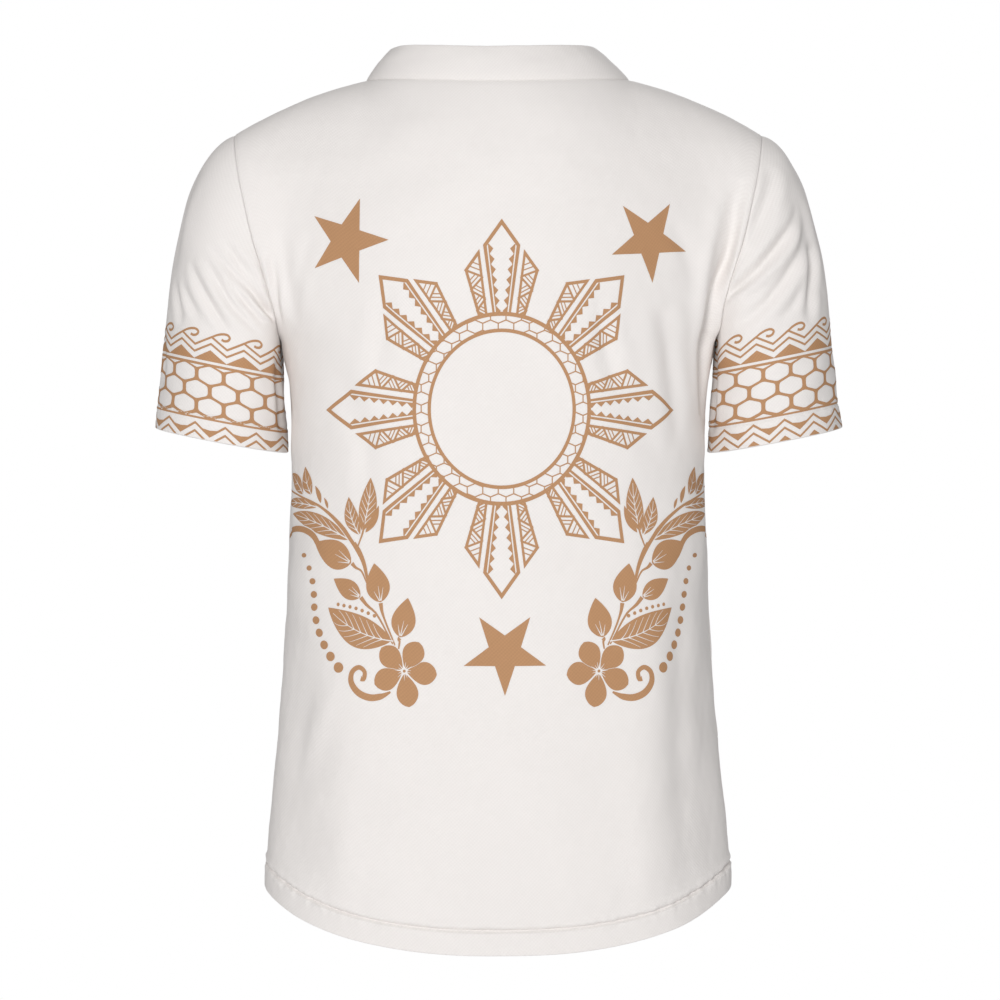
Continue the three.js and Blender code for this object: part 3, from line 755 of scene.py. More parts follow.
def makeBand():
    dense = np.linspace(0, 1, 400)
    turns = []
    for start, end, count in ((0, 1, "back"), (1, 1.5, "front"), (1.5, 2, "front")):
        shares = evenShares(bandSeam(mix(start, end, dense))[0], bandForm[count])
        turns.append(mix(start, end, shares[:-1]))
    seam, lean, out = bandSeam(np.concatenate(turns))
    height = np.linalg.norm(lean, axis=1)
    down = np.linspace(0, 1, bandForm["rows"] + 1)[:, None]
    shares = 1 - (1 - down) ** bandForm["closeness"]
    base = seam + lean * shares[..., None]
    outward = base * (1, 1, 0)
    normals = gridNormals(base, True, outward)
    up = shares * height
    rounding = edgeRounding(height - up, bandForm["topRound"])
    across = runAlong(np.concatenate([seam, seam[:1]])[None], 1)
    soft = softNoise(across[:, :-1], up, bandForm["softSize"], bandForm["seed"]) * bandForm["soft"]
    fine = softNoise(across[:, :-1], up, bandForm["fineSize"], bandForm["seed"] + 1) * bandForm["fine"]
    swell = 4 * clothMake["bandBulge"] * shares * (1 - shares) + (soft + fine) * shares
    points = base + normals * (swell - rounding)[..., None] - out * seamDip(up)[..., None]
    wide = np.broadcast_to(across, (len(up), across.shape[1]))
    lapped = np.concatenate([up, up[:, :1]], axis=1)
    cloth = {"points": points, "across": wide, "up": lapped}
    cloth["normals"] = gridNormals(points, True, outward)
    cloth["thick"] = clothMake["bandWall"] - 2 * rounding
    cloth["inwards"] = unit(mix(out, cloth["normals"], np.minimum(1, shares * 2)[..., None]))
    return cloth


# The print: outlines in the cloth's millimetres, painted in order as ink or as bare cloth.
# Each outline list is laid as one thin film, cut into triangles and draped over its cloth.

printForm = {
    "lift": 0.2, "grain": 3.0, "sleeveGrain": 2.0, "netting": 1.3, "seamClear": 2.4,
    "window": (-545, -320), "starWaist": 0.39,
    "stars": (  # middle, radius and first point's turn
        ((-128.4, -143), 37.2, 72.1), ((128.4, -141.9), 36.1, 129.9), ((5.7, -483.5), 35.8, 126.2),
    ),
}


def ringOf(centre, radius, count):
    turn = np.linspace(0, 2 * math.pi, count, endpoint=False)
    return np.stack([centre[0] + radius * np.cos(turn), centre[1] + radius * np.sin(turn)], axis=-1)


def turned(points, angle):
    cosine, sine = math.cos(angle), math.sin(angle)
    return np.asarray(points, float) @ np.array([[cosine, sine], [-sine, cosine]])


def smoothLine(points, count):  # a curve through the points
    points = np.asarray(points, float)
    run = np.concatenate([[0], np.cumsum(np.linalg.norm(np.diff(points, axis=0), axis=1))])
    table = {"run": run, "x": points[:, 0], "y": points[:, 1]}
    at = np.linspace(0, run[-1], count)
    return np.stack([readTable(table, "run", at, "x"), readTable(table, "run", at, "y")], axis=-1)


def strokeOf(points, width):  # the outline of a line; a width may change along it
    points = np.asarray(points, float)
    along = np.gradient(points, axis=0) if len(points) > 2 else np.diff(points, axis=0).repeat(2, 0)
    across = unit(along)[:, ::-1] * (-1, 1)
    widths = np.atleast_1d(width)
    half = np.interp(np.linspace(0, 1, len(points)), np.linspace(0, 1, len(widths)), widths / 2)
    return np.concatenate([points + across * half[:, None], (points - across * half[:, None])[::-1]])


def mitred(points, width):  # the outline of a zigzag line with sharp corners
    points = np.asarray(points, float)
    across = unit(np.diff(points, axis=0))[:, ::-1] * (-1, 1)
    before, after = np.concatenate([across[:1], across]), np.concatenate([across, across[-1:]])
    corner = (before + after) / (1 + np.sum(before * after, axis=1, keepdims=True))
    return np.concatenate([points + corner * width / 2, (points - corner * width / 2)[::-1]])


def inset(points, widths):  # a convex outline moved inwards, each side by its own width
    points = np.asarray(points, float)
    steps = unit(np.roll(points, -1, axis=0) - points)
    moved = points + steps[:, ::-1] * (-1, 1) * np.asarray(widths, float)[:, None]
    corners = []
    for k in range(len(points)):
        a, b, p, q = moved[k - 1], moved[k], steps[k - 1], steps[k]
        share = ((b[0] - a[0]) * q[1] - (b[1] - a[1]) * q[0]) / (p[0] * q[1] - p[1] * q[0])
        corners.append(a + p * share)
    return np.array(corners)


def rounded(points, radius, steps=4):  # an outline with its corners turned round
    points = np.asarray(points, float)
    made = []
    for k in range(len(points)):
        before, corner, after = points[k - 1], points[k], points[(k + 1) % len(points)]
        start = corner + unit(before - corner) * radius
        end = corner + unit(after - corner) * radius
        for t in np.linspace(0, 1, steps):
            made.append(start * (1 - t) ** 2 + corner * 2 * t * (1 - t) + end * t * t)
    return np.array(made)


def starOf(centre, radius, first):
    turn = math.radians(first) + np.arange(10) * math.pi / 5
    reach = np.where(np.arange(10) % 2, printForm["starWaist"] * radius, radius)
    return np.stack([centre[0] + reach * np.cos(turn), centre[1] + reach * np.sin(turn)], axis=-1)


# The eight-rayed sun: its upright ray is drawn in steps, narrowed to its size and turned round

sunForm = {
    "centre": (3.1, -283), "step": 0.823, "slim": 0.92, "squeeze": 0.927, "spread": 0.05,
    "spreadFrom": 110, "spreadTo": 157, "rays": 8,
    "rings": ((79.75, True), (76.45, False)), "innerRings": ((66.05, True), (63.1, False)),
}
sunBlade = [(8.6, 92), (18.5, 164), (0, 190.5), (-18.5, 164), (-8.6, 92)]
sunBladeInner = [(6.2, 90), (14.9, 163.0), (0, 184.1), (-14.9, 163.0), (-6.2, 90)]
sunComb = {
    "top": (13.8, 165.0), "foot": (5.1, 92.0), "line": 1.0, "reach": 4.9, "teeth": 7,
    "gap": 0.02, "full": 0.9,
}
sunWing = {
    "outline": [(13.8, 92), (23.3, 92), (37.0, 139), (22.2, 160)], "walls": (0.1, 2.8, 3.0, 2.4),
    "bends": (132.0, 118.2, 110.1, 97.6, 92.0), "bendLine": 2.1, "hatches": (0.21, 0.4), "hatchLine": 1.15,
}
sunMesh = {
    "pitch": 13.75, "start": 3.8, "level": 73.0, "row": 8.4, "bar": 5.7, "line": 1.0,
    "rows": (-20, 2), "columns": (-8, 8), "reach": (65, 77.5), "steps": 25,
}


def sunRay():
    shapes = [(np.array(sunBlade, float), True), (np.array(sunBladeInner, float), False)]
    top, foot = np.array(sunComb["top"]), np.array(sunComb["foot"])
    down = (foot - top) / sunComb["teeth"]
    inward = unit(down)[::-1] * (1, -1)
    inward = inward * -np.sign(inward[0])
    comb = [top, foot, foot + inward * sunComb["line"]]
    for k in range(sunComb["teeth"])[::-1]:
        start = top + down * (k + sunComb["gap"]) + inward * sunComb["line"]
        apex = top + down * (k + 0.5) + inward * sunComb["reach"]
        comb += [start + down * sunComb["full"], apex, start]
    wing = np.array(sunWing["outline"], float)
    inner, outer, corner, apex = wing
    bends = [apex, corner]
    for n, level in enumerate(sunWing["bends"]):
        low, high = (outer, corner) if n % 2 else (inner, apex)
        bends.append(mix(low, high, (level - low[1]) / (high[1] - low[1])))
    for side in (-1, 1):
        flip = np.array((side, 1))
        shapes.append((np.array(comb) * flip, True))
        shapes.append((wing * flip, True))
        shapes.append((inset(wing, sunWing["walls"]) * flip, False))
        for k in range(1, len(bends) - 1):
            shapes.append((strokeOf([bends[k], bends[k + 1]] * flip, sunWing["bendLine"]), True))
        for k in range(len(bends) - 2):
            far, near, last = bends[k], bends[k + 1], bends[k + 2]
            for share in sunWing["hatches"]:
                ends = np.array([mix(near, far, share), mix(last, far, share)])
                shapes.append((strokeOf(ends * flip, sunWing["hatchLine"]), True))
    return shapes


def sunNet():  # a flat net of long hexagons between the two rings
    shapes = []
    pitch, row, bar = (sunMesh[key] for key in ("pitch", "row", "bar"))
    nearest, farthest = sunMesh["reach"]
    for n in range(*sunMesh["rows"]):
        for k in range(*sunMesh["columns"]):
            x = sunMesh["start"] + pitch * (k + 0.5 * (n % 2))
            foot = np.array((x, sunMesh["level"] + row * n))
            for end in ((0, bar), (-pitch / 2, bar - row), (pitch / 2, bar - row)):
                line = foot + np.linspace(0, 1, sunMesh["steps"])[:, None] * end
                reach = np.linalg.norm(line, axis=1)
                line = line[(reach > nearest) & (reach < farthest)]
                if len(line) > 2:
                    shapes.append((strokeOf(line[[0, -1]], sunMesh["line"]), True))
    return shapes


def sunShapes():
    ray = sunRay()
    shapes = []
    for k in range(sunForm["rays"]):
        for points, ink in ray:
            sized = points * (sunForm["step"] / sunForm["slim"], sunForm["step"])
            shapes.append((turned(sized, k * 2 * math.pi / sunForm["rays"]), ink))
    shapes += [(ringOf((0, 0), radius, 120), ink) for radius, ink in sunForm["rings"]]
    shapes += sunNet()
    shapes += [(ringOf((0, 0), radius, 120), ink) for radius, ink in sunForm["innerRings"]]
    placed = []
    for points, ink in shapes:
        outwards = smoothStep(np.abs(points[:, 0]), sunForm["spreadFrom"], sunForm["spreadTo"])
        squeeze = sunForm["squeeze"] + sunForm["spread"] * outwards
        placed.append((points * flatStack(squeeze, 1) + sunForm["centre"], ink))
    return placed


# The sprays: a flower, buds, leaves on a bending stem, dots and a curl

leafForm = {
    "edge": 25, "fullness": 0.9, "rib": (1.1, 0.5), "ribEnd": 0.9, "vein": (0.75, 0.35),
    "veinFrom": 0.12, "veinSpan": 0.62, "veinRise": 0.2, "veinReach": 0.86,
}
budForm = {
    "full": 0.4, "veins": ((-0.26, 0.36), (-0.02, 0.42), (0.24, 0.3)), "vein": (1.0, 0.3),
    "veinFrom": 0.04, "veinRoot": 3, "veinSpread": 0.8, "stalk": (3.6, 1.7, 1.5, 1.1),
    "stalkFrom": 0.02, "stalkBend": 0.8,
}
flowerForm = {
    "centre": (-77.7, -499.2), "heart": 2, "fullAt": 1.35, "fullness": 0.62, "gap": 1.045, "gapAt": 0.56,
    "petals": ((27.5, -6, 19), (27, 62, 18.5), (27.5, 136, 18.5), (28, 204, 18.5), (30, 278, 18.5)),
    "rayTurn": 24, "rayStart": 7, "rays": (5.8, 7.6), "ray": (1.0, 0.25), "ring": 2.7, "dot": 1.25,
}
sprayLeaves = {  # base, tip, width, bend and number of veins
    "long": ((-126.5, -391.0), (-201, -369.6), 15.8, -3.6, 5),
    "pairHigh": ((-114.5, -384), (-107.2, -339.5), 15.5, -1.6, 5),
    "pairLow": ((-116.8, -387), (-127.4, -355.5), 13.5, 3.0, 4),
    "pairSlip": ((-111.6, -385), (-99.8, -362.5), 6.2, -1.6, 0),
    "topInner": ((-168.5, -353.5), (-178.5, -330), 13.5, 2.0, 2),
    "topOuter": ((-180, -353), (-206, -335.5), 12, -1.6, 2),
    "topSlip": ((-157.2, -360.6), (-163.5, -346), 5.0, -0.8, 0),
    "topSliver": ((-149.3, -365.2), (-153.4, -356), 2.9, -0.5, 0),
    "outer": ((-161, -364), (-216, -361), 9.0, -2.0, 3),
    "great": ((-88.4, -474.4), (-147.2, -447.6), 27, 5.6, 6),
}
sprayBuds = (  # base, tip, width and the stalk's places
    ((-125.2, -410.2), (-162.6, -393.8), 24, ((-115.5, -417), (-110.4, -427))),
    ((-98.2, -442.6), (-104.0, -410.4), 21, ((-93, -461), (-85.5, -478))),
    ((-116.4, -438.4), (-142.6, -423.6), 16, ((-102, -452), (-87.5, -477))),
    ((-81.2, -471.4), (-74.6, -438.8), 20.5, ((-81.6, -475), (-82.4, -481))),
)
sprayLines = {  # each is a curve through its places
    "stem": (
        (-109.6, -425), (-113.5, -410), (-119.5, -398), (-131, -383.5), (-144, -372), (-160, -362.5),
        (-182, -355.5), (-206, -350), (-232, -346),
    ),
    "slit": ((-121, -393), (-132, -379), (-146, -367), (-163, -357.5), (-186, -351), (-212, -346.5)),
    "stalk": ((-112.5, -372), (-113.8, -384), (-118.6, -396.5)),
    "sweep": (
        (-159.4, -394), (-164.2, -388.8), (-171.5, -385), (-182, -382.6), (-196, -382.4), (-212, -384.6),
        (-228, -389),
    ),
    "curl": (
        (-89.6, -516.6), (-98, -520.4), (-108, -521.4), (-118, -517.4), (-124.4, -509), (-123.6, -500.6),
        (-117.4, -496.6), (-112.2, -500.2), (-113.0, -506.2), (-115.6, -505.8),
    ),
}
sprayDots = {"places": ((-137.3, -444.8), (-120, -447.9), (-103.6, -453.8)), "count": 7, "radius": 1.55}
sprayTrail = (  # place, radius and how much wider than high
    (-178.3, -404.4, 1.9, 1.9), (-170.6, -415, 2.2, 1.5), (-166.4, -426, 2.6, 1.4),
    (-164.4, -437, 2.9, 1.35), (-163.2, -447.6, 3.1, 1.3), (-161.2, -458.4, 3.3, 1.3),
    (-157.8, -468.8, 3.5, 1.22), (-152.6, -478.8, 3.7, 1.2), (-145.8, -488.2, 4.0, 1.15),
    (-137.2, -497.2, 4.4, 1.12),
)


def acrossOf(along):
    return np.array([-along[1], along[0]]) / np.linalg.norm(along)


def leafOf(base, tip, width, bend=0.0, veins=0, full=0.46):
    base, tip = np.array(base, float), np.array(tip, float)
    along, across = tip - base, acrossOf(tip - base)
    skew = math.log(0.5) / math.log(full)

    def spot(share, beside):
        middle = base + along * share + across * bend * 4 * share * (1 - share)
        return middle + across * beside * width / 2

    def half(share):
        return math.sin(math.pi * share**skew) ** leafForm["fullness"]

    shares = np.linspace(0, 1, leafForm["edge"])
    edge = [spot(t, half(t)) for t in shares] + [spot(t, -half(t)) for t in shares[-2:0:-1]]
    shapes = [(np.array(edge), True)]
    if veins:
        rib = np.array([spot(t, 0) for t in np.linspace(-0.02, leafForm["ribEnd"], 14)])
        shapes.append((strokeOf(rib, leafForm["rib"]), False))
    for k in range(veins):
        start = leafForm["veinFrom"] + leafForm["veinSpan"] * k / veins
        for reach in (-leafForm["veinReach"], leafForm["veinReach"]):
            line = []
            for t in np.linspace(0, 1, 6):
                place = start + leafForm["veinRise"] * t
                line.append(spot(place, reach * t * half(place)))
            shapes.append((strokeOf(line, leafForm["vein"]), False))
    return shapes


def budOf(base, tip, width, stalk):
    shapes = leafOf(base, tip, width, full=budForm["full"])
    base, tip = np.array(base, float), np.array(tip, float)
    along, across = tip - base, acrossOf(tip - base)
    for lean, length in budForm["veins"]:
        start = base + along * budForm["veinFrom"] + across * lean * budForm["veinRoot"]
        end = base + along * length + across * lean * width * budForm["veinSpread"]
        shapes.append((strokeOf([start, mix(start, end, 0.5), end], budForm["vein"]), False))
    root = base - along * budForm["stalkFrom"]
    bent = mix(root, np.array(stalk[0], float), 0.4) + across * budForm["stalkBend"]
    shapes.append((strokeOf(smoothLine([root, bent, *stalk], 14), budForm["stalk"]), True))
    return shapes


def directionOf(angle):
    return np.array([math.cos(math.radians(angle)), math.sin(math.radians(angle))])


def flowerShapes():
    shapes = []
    centre, heart = np.array(flowerForm["centre"], float), flowerForm["heart"]
    for reach, angle, width in flowerForm["petals"]:
        direction = directionOf(angle)
        across = acrossOf(direction)
        side, back = [], []
        for t in np.linspace(0, 1, 22):
            full = math.sin(math.pi * t ** flowerForm["fullAt"]) if 0 < t < 1 else 0
            middle = centre + direction * (heart + (reach - heart) * t)
            swell = across * full ** flowerForm["fullness"] * width / 2
            side.append(middle + swell)
            back.append(middle - swell)
        outline = np.array(side + back[-2:0:-1])
        middle = centre + direction * reach * flowerForm["gapAt"]
        shapes.append((middle + (outline - middle) * flowerForm["gap"], False))
        shapes.append((outline, True))
    for k in range(360 // flowerForm["rayTurn"]):
        ray = directionOf(k * flowerForm["rayTurn"] + flowerForm["rayStart"])
        line = [centre, centre + ray * flowerForm["rays"][k % 2]]
        shapes.append((strokeOf(line, flowerForm["ray"]), False))
    shapes.append((ringOf(centre, flowerForm["ring"], 16), False))
    shapes.append((ringOf(centre, flowerForm["dot"], 12), True))
    return shapes


def sprayLine(name, widths, ink, count=40):
    return [(strokeOf(smoothLine(sprayLines[name], count), widths), ink)]


def sprayShapes():
    shapes = leafOf(*sprayLeaves["long"])
    shapes += sprayLine("stem", (3.4, 6.0, 5.0, 3.8, 3.0, 2.6, 2.4), False, 60)
    shapes += sprayLine("stem", (2.2, 4.6, 3.6, 2.3, 1.6, 1.3, 1.2), True, 60)
    shapes += sprayLine("slit", (0.9, 0.8, 0.6), False)
    for name in ("pairHigh", "pairLow", "pairSlip"):
        shapes += leafOf(*sprayLeaves[name])
    shapes += sprayLine("stalk", (0.9, 1.7, 1.2), True, 12)
    for name in ("topInner", "topOuter", "topSlip", "topSliver", "outer"):
        shapes += leafOf(*sprayLeaves[name])
    shapes += sprayLine("sweep", (7.6, 7.2, 6.6, 5.6), False)
    shapes += sprayLine("sweep", (5.6, 5.2, 4.6, 3.6), True)
    for row in sprayBuds:
        shapes += budOf(*row)
    for place in smoothLine(sprayDots["places"], sprayDots["count"]):
        shapes.append((ringOf(place, sprayDots["radius"], 12), True))
    shapes += leafOf(*sprayLeaves["great"])
    for x, y, radius, wide in sprayTrail:
        shapes.append((ringOf((0, 0), radius, 20) * (wide, 1) + (x, y), True))
    shapes += sprayLine("curl", (1.6, 5.2, 5.8, 5.6, 5.2, 4.2, 3.6, 4.2), True, 60)
    return shapes + flowerShapes()


def mirrored(shapes):  # about the upright line through the sun's middle
    shift = (2 * sunForm["centre"][0], 0)
    return [((points * (-1, 1) + shift)[::-1], ink) for points, ink in shapes]


# The bands round the sleeves: places run along the print, levels go down from the first valley

bandPrint = {
    "zigzag": 10, "mesh": 12, "low": 11, "edge": 190.96,
    "inner": (0.25, 0.75), "outer": (0.42, 0.58), "clear": 0.6, "above": 16, "cuffClear": 0.8,
}
sleevePrints = {
    "sleeveLeft": {"valley": 78.6, "way": -1, "zigzag": 17.4, "mesh": 14.8, "low": 8.8},
    "sleeveRight": {"valley": 83.3, "way": 1, "zigzag": 21.4, "mesh": 7.1, "low": 20.7},
}
bandLines = {  # the level of a zigzag's feet, the level of its peaks and its width
    "zigzag": ((0, -8.3, 1.75), (5.85, -2.45, 1.7)),
    "low": ((74.7, 65.2, 1.75), (81.4, 71.9, 1.7)),
}
bandCurl = {
    "places": (
        (0, -8.3), (0.16, -10.9), (0.33, -12.5), (0.48, -12.5), (0.555, -10.4), (0.5, -7.9), (0.39, -7.1),
        (0.31, -7.9),
    ),
    "widths": (1.6, 1.9, 2.0, 2.1),
}
bandPatches = {
    "peak": ((-0.53, 12.2), (0, 2.8), (0.53, 12.2)),
    "ground": ((-0.51, 14.4), (0.51, 14.4), (0.51, 61.5), (-0.51, 61.5)),
    "lens": ((0.24, 69.0), (0.5, 69.9), (0.76, 69.0), (0.5, 74.3)),
    "foot": ((-0.27, 84), (0, 78.4), (0.27, 84)),
}
bandMesh = {
    "middles": (24.1, 37.4, 50.8), "height": 7.8, "shoulder": 3.9, "bar": 1.75, "round": 2.3,
    "gap": ((-0.3, 0), (0, 2.5), (0.3, 0)), "gapRound": 0.8, "topGap": 16.5, "footGap": 59.9,
}


def printRun(across):  # the print lies closer together near the underarm and the outer side
    half = bandPrint["edge"]
    within = np.where(across > half, 2 * half - across, across)
    turn = within * math.pi / half
    low, high = np.minimum(turn, math.pi / 2), np.maximum(turn - math.pi / 2, 0)
    run = bandPrint["inner"][0] * low + bandPrint["inner"][1] * (1 - np.cos(low))
    run = run + bandPrint["outer"][0] * high + bandPrint["outer"][1] * np.sin(high)
    total = bandPrint["inner"][0] * math.pi / 2 + bandPrint["inner"][1]
    total += bandPrint["outer"][0] * math.pi / 2 + bandPrint["outer"][1]
    return np.where(across > half, 2 * total - run, run) * half / math.pi


def bandShapes(setup):
    whole = float(printRun(np.array(2 * bandPrint["edge"])))
    way = setup["way"]
    shapes = []

    def lay(points, ink, pitch, k, phase):  # places are shares of the pitch, from a peak or a bar
        points = np.asarray(points, float)
        across = phase + way * (points[:, 0] + k) * pitch
        shapes.append((flatStack(across, setup["valley"] - points[:, 1]), ink))

    def span(count, phase):
        pitch = whole / count
        low = -phase / pitch if way > 0 else -(whole - phase) / pitch
        return pitch, range(math.floor(low) - 1, math.ceil(low + count) + 2)

    def roundedCell(points, radius, pitch):
        return rounded(np.array(points) * (pitch, 1), radius) / (pitch, 1)

    def layZigzags(kind, pitch, k):
        for foot, peak, width in bandLines[kind]:
            line = np.array([(-0.5, foot), (0, peak), (0.5, foot), (1, peak)]) * (pitch, 1)
            lay(mitred(line, width) / (pitch, 1), True, pitch, k, setup[kind])

    pitch, repeats = span(bandPrint["zigzag"], setup["zigzag"])
    curl = strokeOf(smoothLine(np.array(bandCurl["places"]) * (pitch, 1), 26), bandCurl["widths"])
    for k in repeats:
        layZigzags("zigzag", pitch, k)
        lay(curl / (pitch, 1), True, pitch, k, setup["zigzag"])
        lay(bandPatches["peak"], True, pitch, k, setup["zigzag"])
    pitch, repeats = span(bandPrint["mesh"], setup["mesh"])
    for k in repeats:
        lay(bandPatches["ground"], True, pitch, k, setup["mesh"])
    wide, high, low = 0.5 - bandMesh["bar"] / pitch, bandMesh["height"], bandMesh["shoulder"]
    cell = ((0, -high), (wide, -low), (wide, low), (0, high), (-wide, low), (-wide, -low))
    cell = roundedCell(cell, bandMesh["round"], pitch)
    gap = roundedCell(bandMesh["gap"], bandMesh["gapRound"], pitch)
    for k in repeats:
        for row, middle in enumerate(bandMesh["middles"]):
            lay(cell + (0.5 + 0.5 * (row % 2), middle), False, pitch, k, setup["mesh"])
        lay(gap + (0, bandMesh["topGap"]), False, pitch, k, setup["mesh"])
        lay(gap * (1.1, -1.2) + (0, bandMesh["footGap"]), False, pitch, k, setup["mesh"])
    pitch, repeats = span(bandPrint["low"], setup["low"])
    for k in repeats:
        layZigzags("low", pitch, k)
        lay(bandPatches["lens"], True, pitch, k, setup["low"])
        lay(bandPatches["foot"], True, pitch, k, setup["low"])
    top, end = setup["valley"] + bandPrint["above"], whole - bandPrint["clear"]
    foot, start = bandPrint["cuffClear"], bandPrint["clear"]
    return shapes, np.array([(start, top), (end, top), (end, foot), (start, foot)])


# Stitches: small rounded threads set along a path by geometry nodes

stitchForm = {
    "pitch": 3.2, "length": 2.3, "thick": 0.42, "lift": 0.3, "segments": 6, "rings": 4,
    "hemAt": 19.3, "sideClear": 0.6, "neckRow": 1.4, "armholeColumn": 1.6, "step": 0.5,
}


def stitchGroup():
    group = bpy.data.node_groups.new("stitch_row", "GeometryNodeTree")
    group.interface.new_socket(name="Path", in_out="INPUT", socket_type="NodeSocketGeometry")
    for name in ("Pitch", "Length", "Thickness"):
        group.interface.new_socket(name=name, in_out="INPUT", socket_type="NodeSocketFloat")
    group.interface.new_socket(name="Thread", in_out="INPUT", socket_type="NodeSocketMaterial")
    group.interface.new_socket(name="Stitches", in_out="OUTPUT", socket_type="NodeSocketGeometry")
    wire = Wire(group)
    path, pitch, length, thickness, thread = (wire.node("NodeGroupInput", {}, {}, k) for k in range(5))
    curve = wire.node("GeometryNodeMeshToCurve", {}, {"Mesh": path})
    even = wire.node("GeometryNodeResampleCurve", {"mode": "LENGTH"}, {"Curve": curve, "Length": pitch})
    tangent = wire.node("GeometryNodeInputTangent", {}, {})
    turn = wire.node("FunctionNodeAlignRotationToVector", {"axis": "Z"}, {"Vector": tangent})
    shape = {"Segments": stitchForm["segments"], "Rings": stitchForm["rings"], "Radius": 0.5}
    ball = wire.node("GeometryNodeMeshUVSphere", {}, shape)
    size = wire.node("ShaderNodeCombineXYZ", {}, {0: thickness, 1: thickness, 2: length})
    points = {"Points": even, "Instance": ball, "Rotation": turn, "Scale": size}
    placed = wire.node("GeometryNodeInstanceOnPoints", {}, points)
    real = wire.node("GeometryNodeRealizeInstances", {}, {"Geometry": placed})
    smooth = wire.node("GeometryNodeSetShadeSmooth", {}, {0: real})
    finished = wire.node("GeometryNodeSetMaterial", {}, {"Geometry": smooth, "Material": thread})
    wire.node("NodeGroupOutput", {}, {"Stitches": finished})
    return group


def makeStitches(name, paths, thread, group):
    points, edges = [], []
    for path, closed in paths:
        first = len(points)
        points += (path * mm).tolist()
        edges += [(first + k, first + k + 1) for k in range(len(path) - 1)]
        edges += [(len(points) - 1, first)] if closed else []
    mesh = bpy.data.meshes.new(name + "Path")
    mesh.from_pydata(points, edges, [])
    carrier = bpy.data.objects.new(name + "Path", mesh)
    bpy.context.scene.collection.objects.link(carrier)
    modifier = carrier.modifiers.new("stitches", "NODES")
    modifier.node_group = group
    values = {
        "Pitch": stitchForm["pitch"] * mm, "Length": stitchForm["length"] * mm,
        "Thickness": stitchForm["thick"] * mm, "Thread": thread,
    }
    for item in group.interface.items_tree:
        if item.name in values:
            modifier[item.identifier] = values[item.name]
    ready = carrier.evaluated_get(bpy.context.evaluated_depsgraph_get())
    made = bpy.data.objects.new(name, bpy.data.meshes.new_from_object(ready))
    bpy.context.scene.collection.objects.link(made)
    bpy.data.objects.remove(carrier)
    return made


def pathOn(cloth, i, j):
    points, normals = cloth["points"], cloth["normals"]
    i, j = np.broadcast_arrays(np.asarray(i, float), np.asarray(j, float))
    return sample(points, i, j) + unit(sample(normals, i, j)) * stitchForm["lift"]


# Laying the print on the cloth


def sample(grid, i, j):
    low = np.clip(np.floor(i), 0, grid.shape[0] - 2).astype(int)
    left = np.clip(np.floor(j), 0, grid.shape[1] - 2).astype(int)
    down, right = i - low, j - left
    if grid.ndim == 3:
        down, right = down[:, None], right[:, None]
    near = grid[low, left] * (1 - right) + grid[low, left + 1] * right
    far = grid[low + 1, left] * (1 - right) + grid[low + 1, left + 1] * right
    return near * (1 - down) + far * down


def findPlaces(across, level, flat):  # the rows and columns, with fractions, of places on the cloth
    rows, columns = across.shape[0] - 1, across.shape[1] - 1
    i = np.interp(flat[:, 1], level[:, columns // 4], np.arange(rows + 1))
    j = np.interp(flat[:, 0], across[rows // 3], np.arange(columns + 1))
    for _ in range(40):
        low, left = np.minimum(i, rows - 1).astype(int), np.minimum(j, columns - 1).astype(int)
        rise = level[low + 1, left] - level[low, left]
        step = across[low, left + 1] - across[low, left]
        i = np.clip(i + (flat[:, 1] - sample(level, i, j)) / rise, 0, rows)
        j = np.clip(j + (flat[:, 0] - sample(across, i, j)) / step, 0, columns)
    return i, j


def finer(points, grain):
    made = []
    for start, end in zip(points, np.roll(points, -1, axis=0)):
        count = max(1, math.ceil(np.linalg.norm(end - start) / grain))
        made += [start + (end - start) * k / count for k in range(count)]
    return np.array(made)


def trianglesOf(shapes, grain, window):  # a window, where there is one, is the part that is kept
    outlines = [(window, None)] if window is not None else []
    outlines = [(finer(points, grain), ink) for points, ink in outlines + shapes]
    verts, faces = [], []
    for points, _ in outlines:
        area = np.sum(points[:, 0] * np.roll(points[:, 1], -1) - points[:, 1] * np.roll(points[:, 0], -1))
        faces.append(list(range(len(verts), len(verts) + len(points))))
        verts += points.tolist() if area > 0 else points[::-1].tolist()
    every = np.array(verts)
    low, high = every.min(axis=0), every.max(axis=0)
    net = grain * printForm["netting"]
    grid = np.stack(np.meshgrid(*(np.arange(a, b, net) for a, b in zip(low, high))), axis=-1)
    verts += grid.reshape(-1, 2).tolist()
    laid = geometry.delaunay_2d_cdt([Vector(spot) for spot in verts], [], faces, 1, 1e-5, True)
    spots, triangles, sources = laid[0], laid[2], laid[5]
    kept = []
    for triangle, source in zip(triangles, sources):
        inside = [k for k in source if outlines[k][1] is not None]
        if inside and outlines[max(inside)][1] and (window is None or 0 in source):
            kept.append(triangle)
    used = sorted({k for triangle in kept for k in triangle})
    place = {k: n for n, k in enumerate(used)}
    flat = np.array([tuple(spots[k]) for k in used])
    return flat, np.array([[place[k] for k in triangle] for triangle in kept])


def panelWindow(cloth, low, high):  # the part of a panel between two levels, clear of its seams
    level, clear = cloth["level"], printForm["seamClear"]
    rows = np.flatnonzero((level[:, 0] > low) & (level[:, 0] < high))[::4]
    left = flatStack(cloth["across"][rows, 0] + clear, level[rows, 0])
    right = flatStack(cloth["across"][rows, -1] - clear, level[rows, -1])
    return np.concatenate([left, right[::-1]])


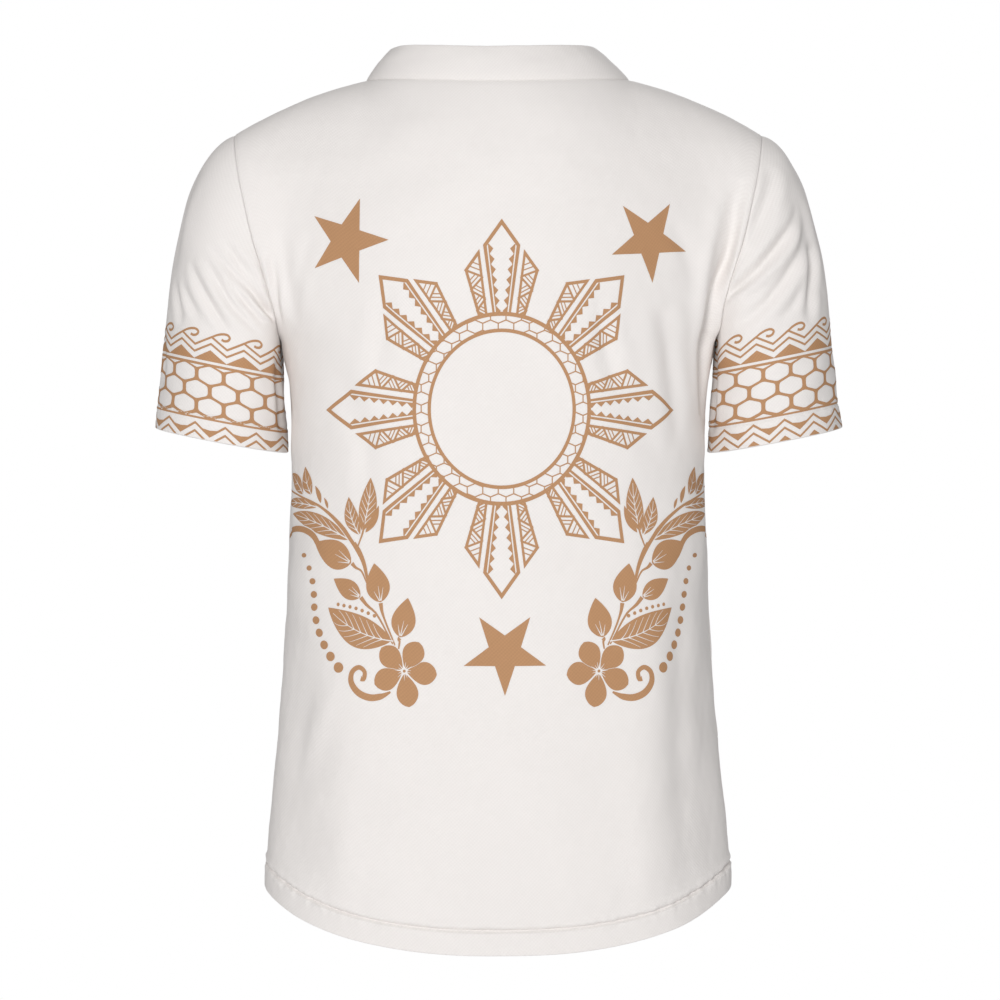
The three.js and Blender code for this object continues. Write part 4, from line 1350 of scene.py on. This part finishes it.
def makePrint(name, cloth, groups, grain, tube):
    flats, triangles, count = [], [], 0
    for shapes, window in groups:
        flat, made = trianglesOf(shapes, grain, window)
        flats.append(flat)
        triangles.append(made + count)
        count += len(flat)
    flat, triangles = np.concatenate(flats), np.concatenate(triangles)
    i, j = findPlaces(cloth["print"], cloth["level"], flat)

    def lapped(grid):
        return np.concatenate([grid, grid[:, :1]], axis=1) if tube else grid

    points = sample(lapped(cloth["points"]), i, j)
    normals = unit(sample(lapped(cloth["normals"]), i, j))
    points = points + normals * printForm["lift"]
    corner = points[triangles]
    facing = np.cross(corner[:, 1] - corner[:, 0], corner[:, 2] - corner[:, 0])
    away = np.sum(facing * normals[triangles[:, 0]], axis=1) < 0
    triangles[away] = triangles[away][:, ::-1]
    uv = np.stack([sample(cloth["across"], i, j), sample(cloth["up"], i, j)], axis=-1)
    made = meshObject(name, points * mm, triangles.tolist(), uv[triangles.ravel()])
    made.data.normals_split_custom_set_from_vertices(normals.tolist())
    return made


# The shirt

jerseyCloth, sleeveCloth, bandCloth = (
    clothFinish(name, **tones["knit"]) for name in ("jersey_knit", "sleeve_knit", "band_knit")
)
makeCamera()
makeLamps()
makeRoom()
print("the room is made")

cloths = {
    "back": makePanel(-1, backCreases, 11),
    "front": makePanel(1, frontCreases, 23),
    "sleeveLeft": makeSleeve(-1, leftSleeveCreases, 37),
    "sleeveRight": makeSleeve(1, rightSleeveCreases, 53),
    "band": makeBand(),
}
clothPieces = {
    "backCloth": ("back", False, jerseyCloth, "jersey_cloth", "back_panel"),
    "frontCloth": ("front", False, jerseyCloth, "jersey_cloth", "front_panel"),
    "sleeveLeftCloth": ("sleeveLeft", True, sleeveCloth, "sleeve_cloth", "sleeve_left"),
    "sleeveRightCloth": ("sleeveRight", True, sleeveCloth, "sleeve_cloth", "sleeve_right"),
    "bandCloth": ("band", True, bandCloth, "band_cloth", "neckband"),
}
for name, (key, tube, material, slot, node) in clothPieces.items():
    made = makeWall(name, cloths[key], tube)
    pieces[name] = finishPiece(made, material, (node,))
print("the cloth is made")

printInk = clothFinish("print_ink", **tones["ink"])
backWindow = panelWindow(cloths["back"], *printForm["window"])
backGroups = [([(starOf(*star), True)], None) for star in printForm["stars"]]
backGroups += [(sunShapes(), None), (sprayShapes(), backWindow), (mirrored(sprayShapes()), backWindow)]
pieces["backPrint"] = makePrint("backPrint", cloths["back"], backGroups, printForm["grain"], False)
for name, key in (("sleeveLeftPrint", "sleeveLeft"), ("sleeveRightPrint", "sleeveRight")):
    group = bandShapes(sleevePrints[key])
    pieces[name] = makePrint(name, cloths[key], [group], printForm["sleeveGrain"], True)
for name in ("backPrint", "sleeveLeftPrint", "sleeveRightPrint"):
    finishPiece(pieces[name], printInk)
print("the print is laid")

thread = threadFinish(**tones["thread"])
stitchRows = stitchGroup()
hemRow = hemRows.index(stitchForm["hemAt"])
panelRows, panelColumns = (count - 1 for count in cloths["back"]["across"].shape)
neckRow, column, step = panelRows - stitchForm["neckRow"], stitchForm["armholeColumn"], stitchForm["step"]
yoke = np.arange(len(hemRows) + panelGrid["bodyRows"], panelRows - 1)
hem = np.arange(stitchForm["sideClear"], panelColumns, step)
neck = np.arange(panelGrid["outside"] + 1, panelColumns - panelGrid["outside"] - 1, step)
around = np.arange(0, sleeveForm["columns"] - 1, step)
for key in ("back", "front", "sleeveLeft", "sleeveRight"):
    cloth, name = cloths[key], key + "Stitches"
    if key in ("back", "front"):
        slot = "jersey_cloth"
        paths = [(pathOn(cloth, hemRow, hem), False), (pathOn(cloth, neckRow, neck), False)]
        paths += [(pathOn(cloth, yoke, place), False) for place in (column, panelColumns - column)]
    else:
        slot = "sleeve_cloth"
        paths = [(pathOn(cloth, hemRow, around), True)]
    pieces[name] = finishPiece(makeStitches(name, paths, thread, stitchRows), thread)
print("the stitches are sewn")
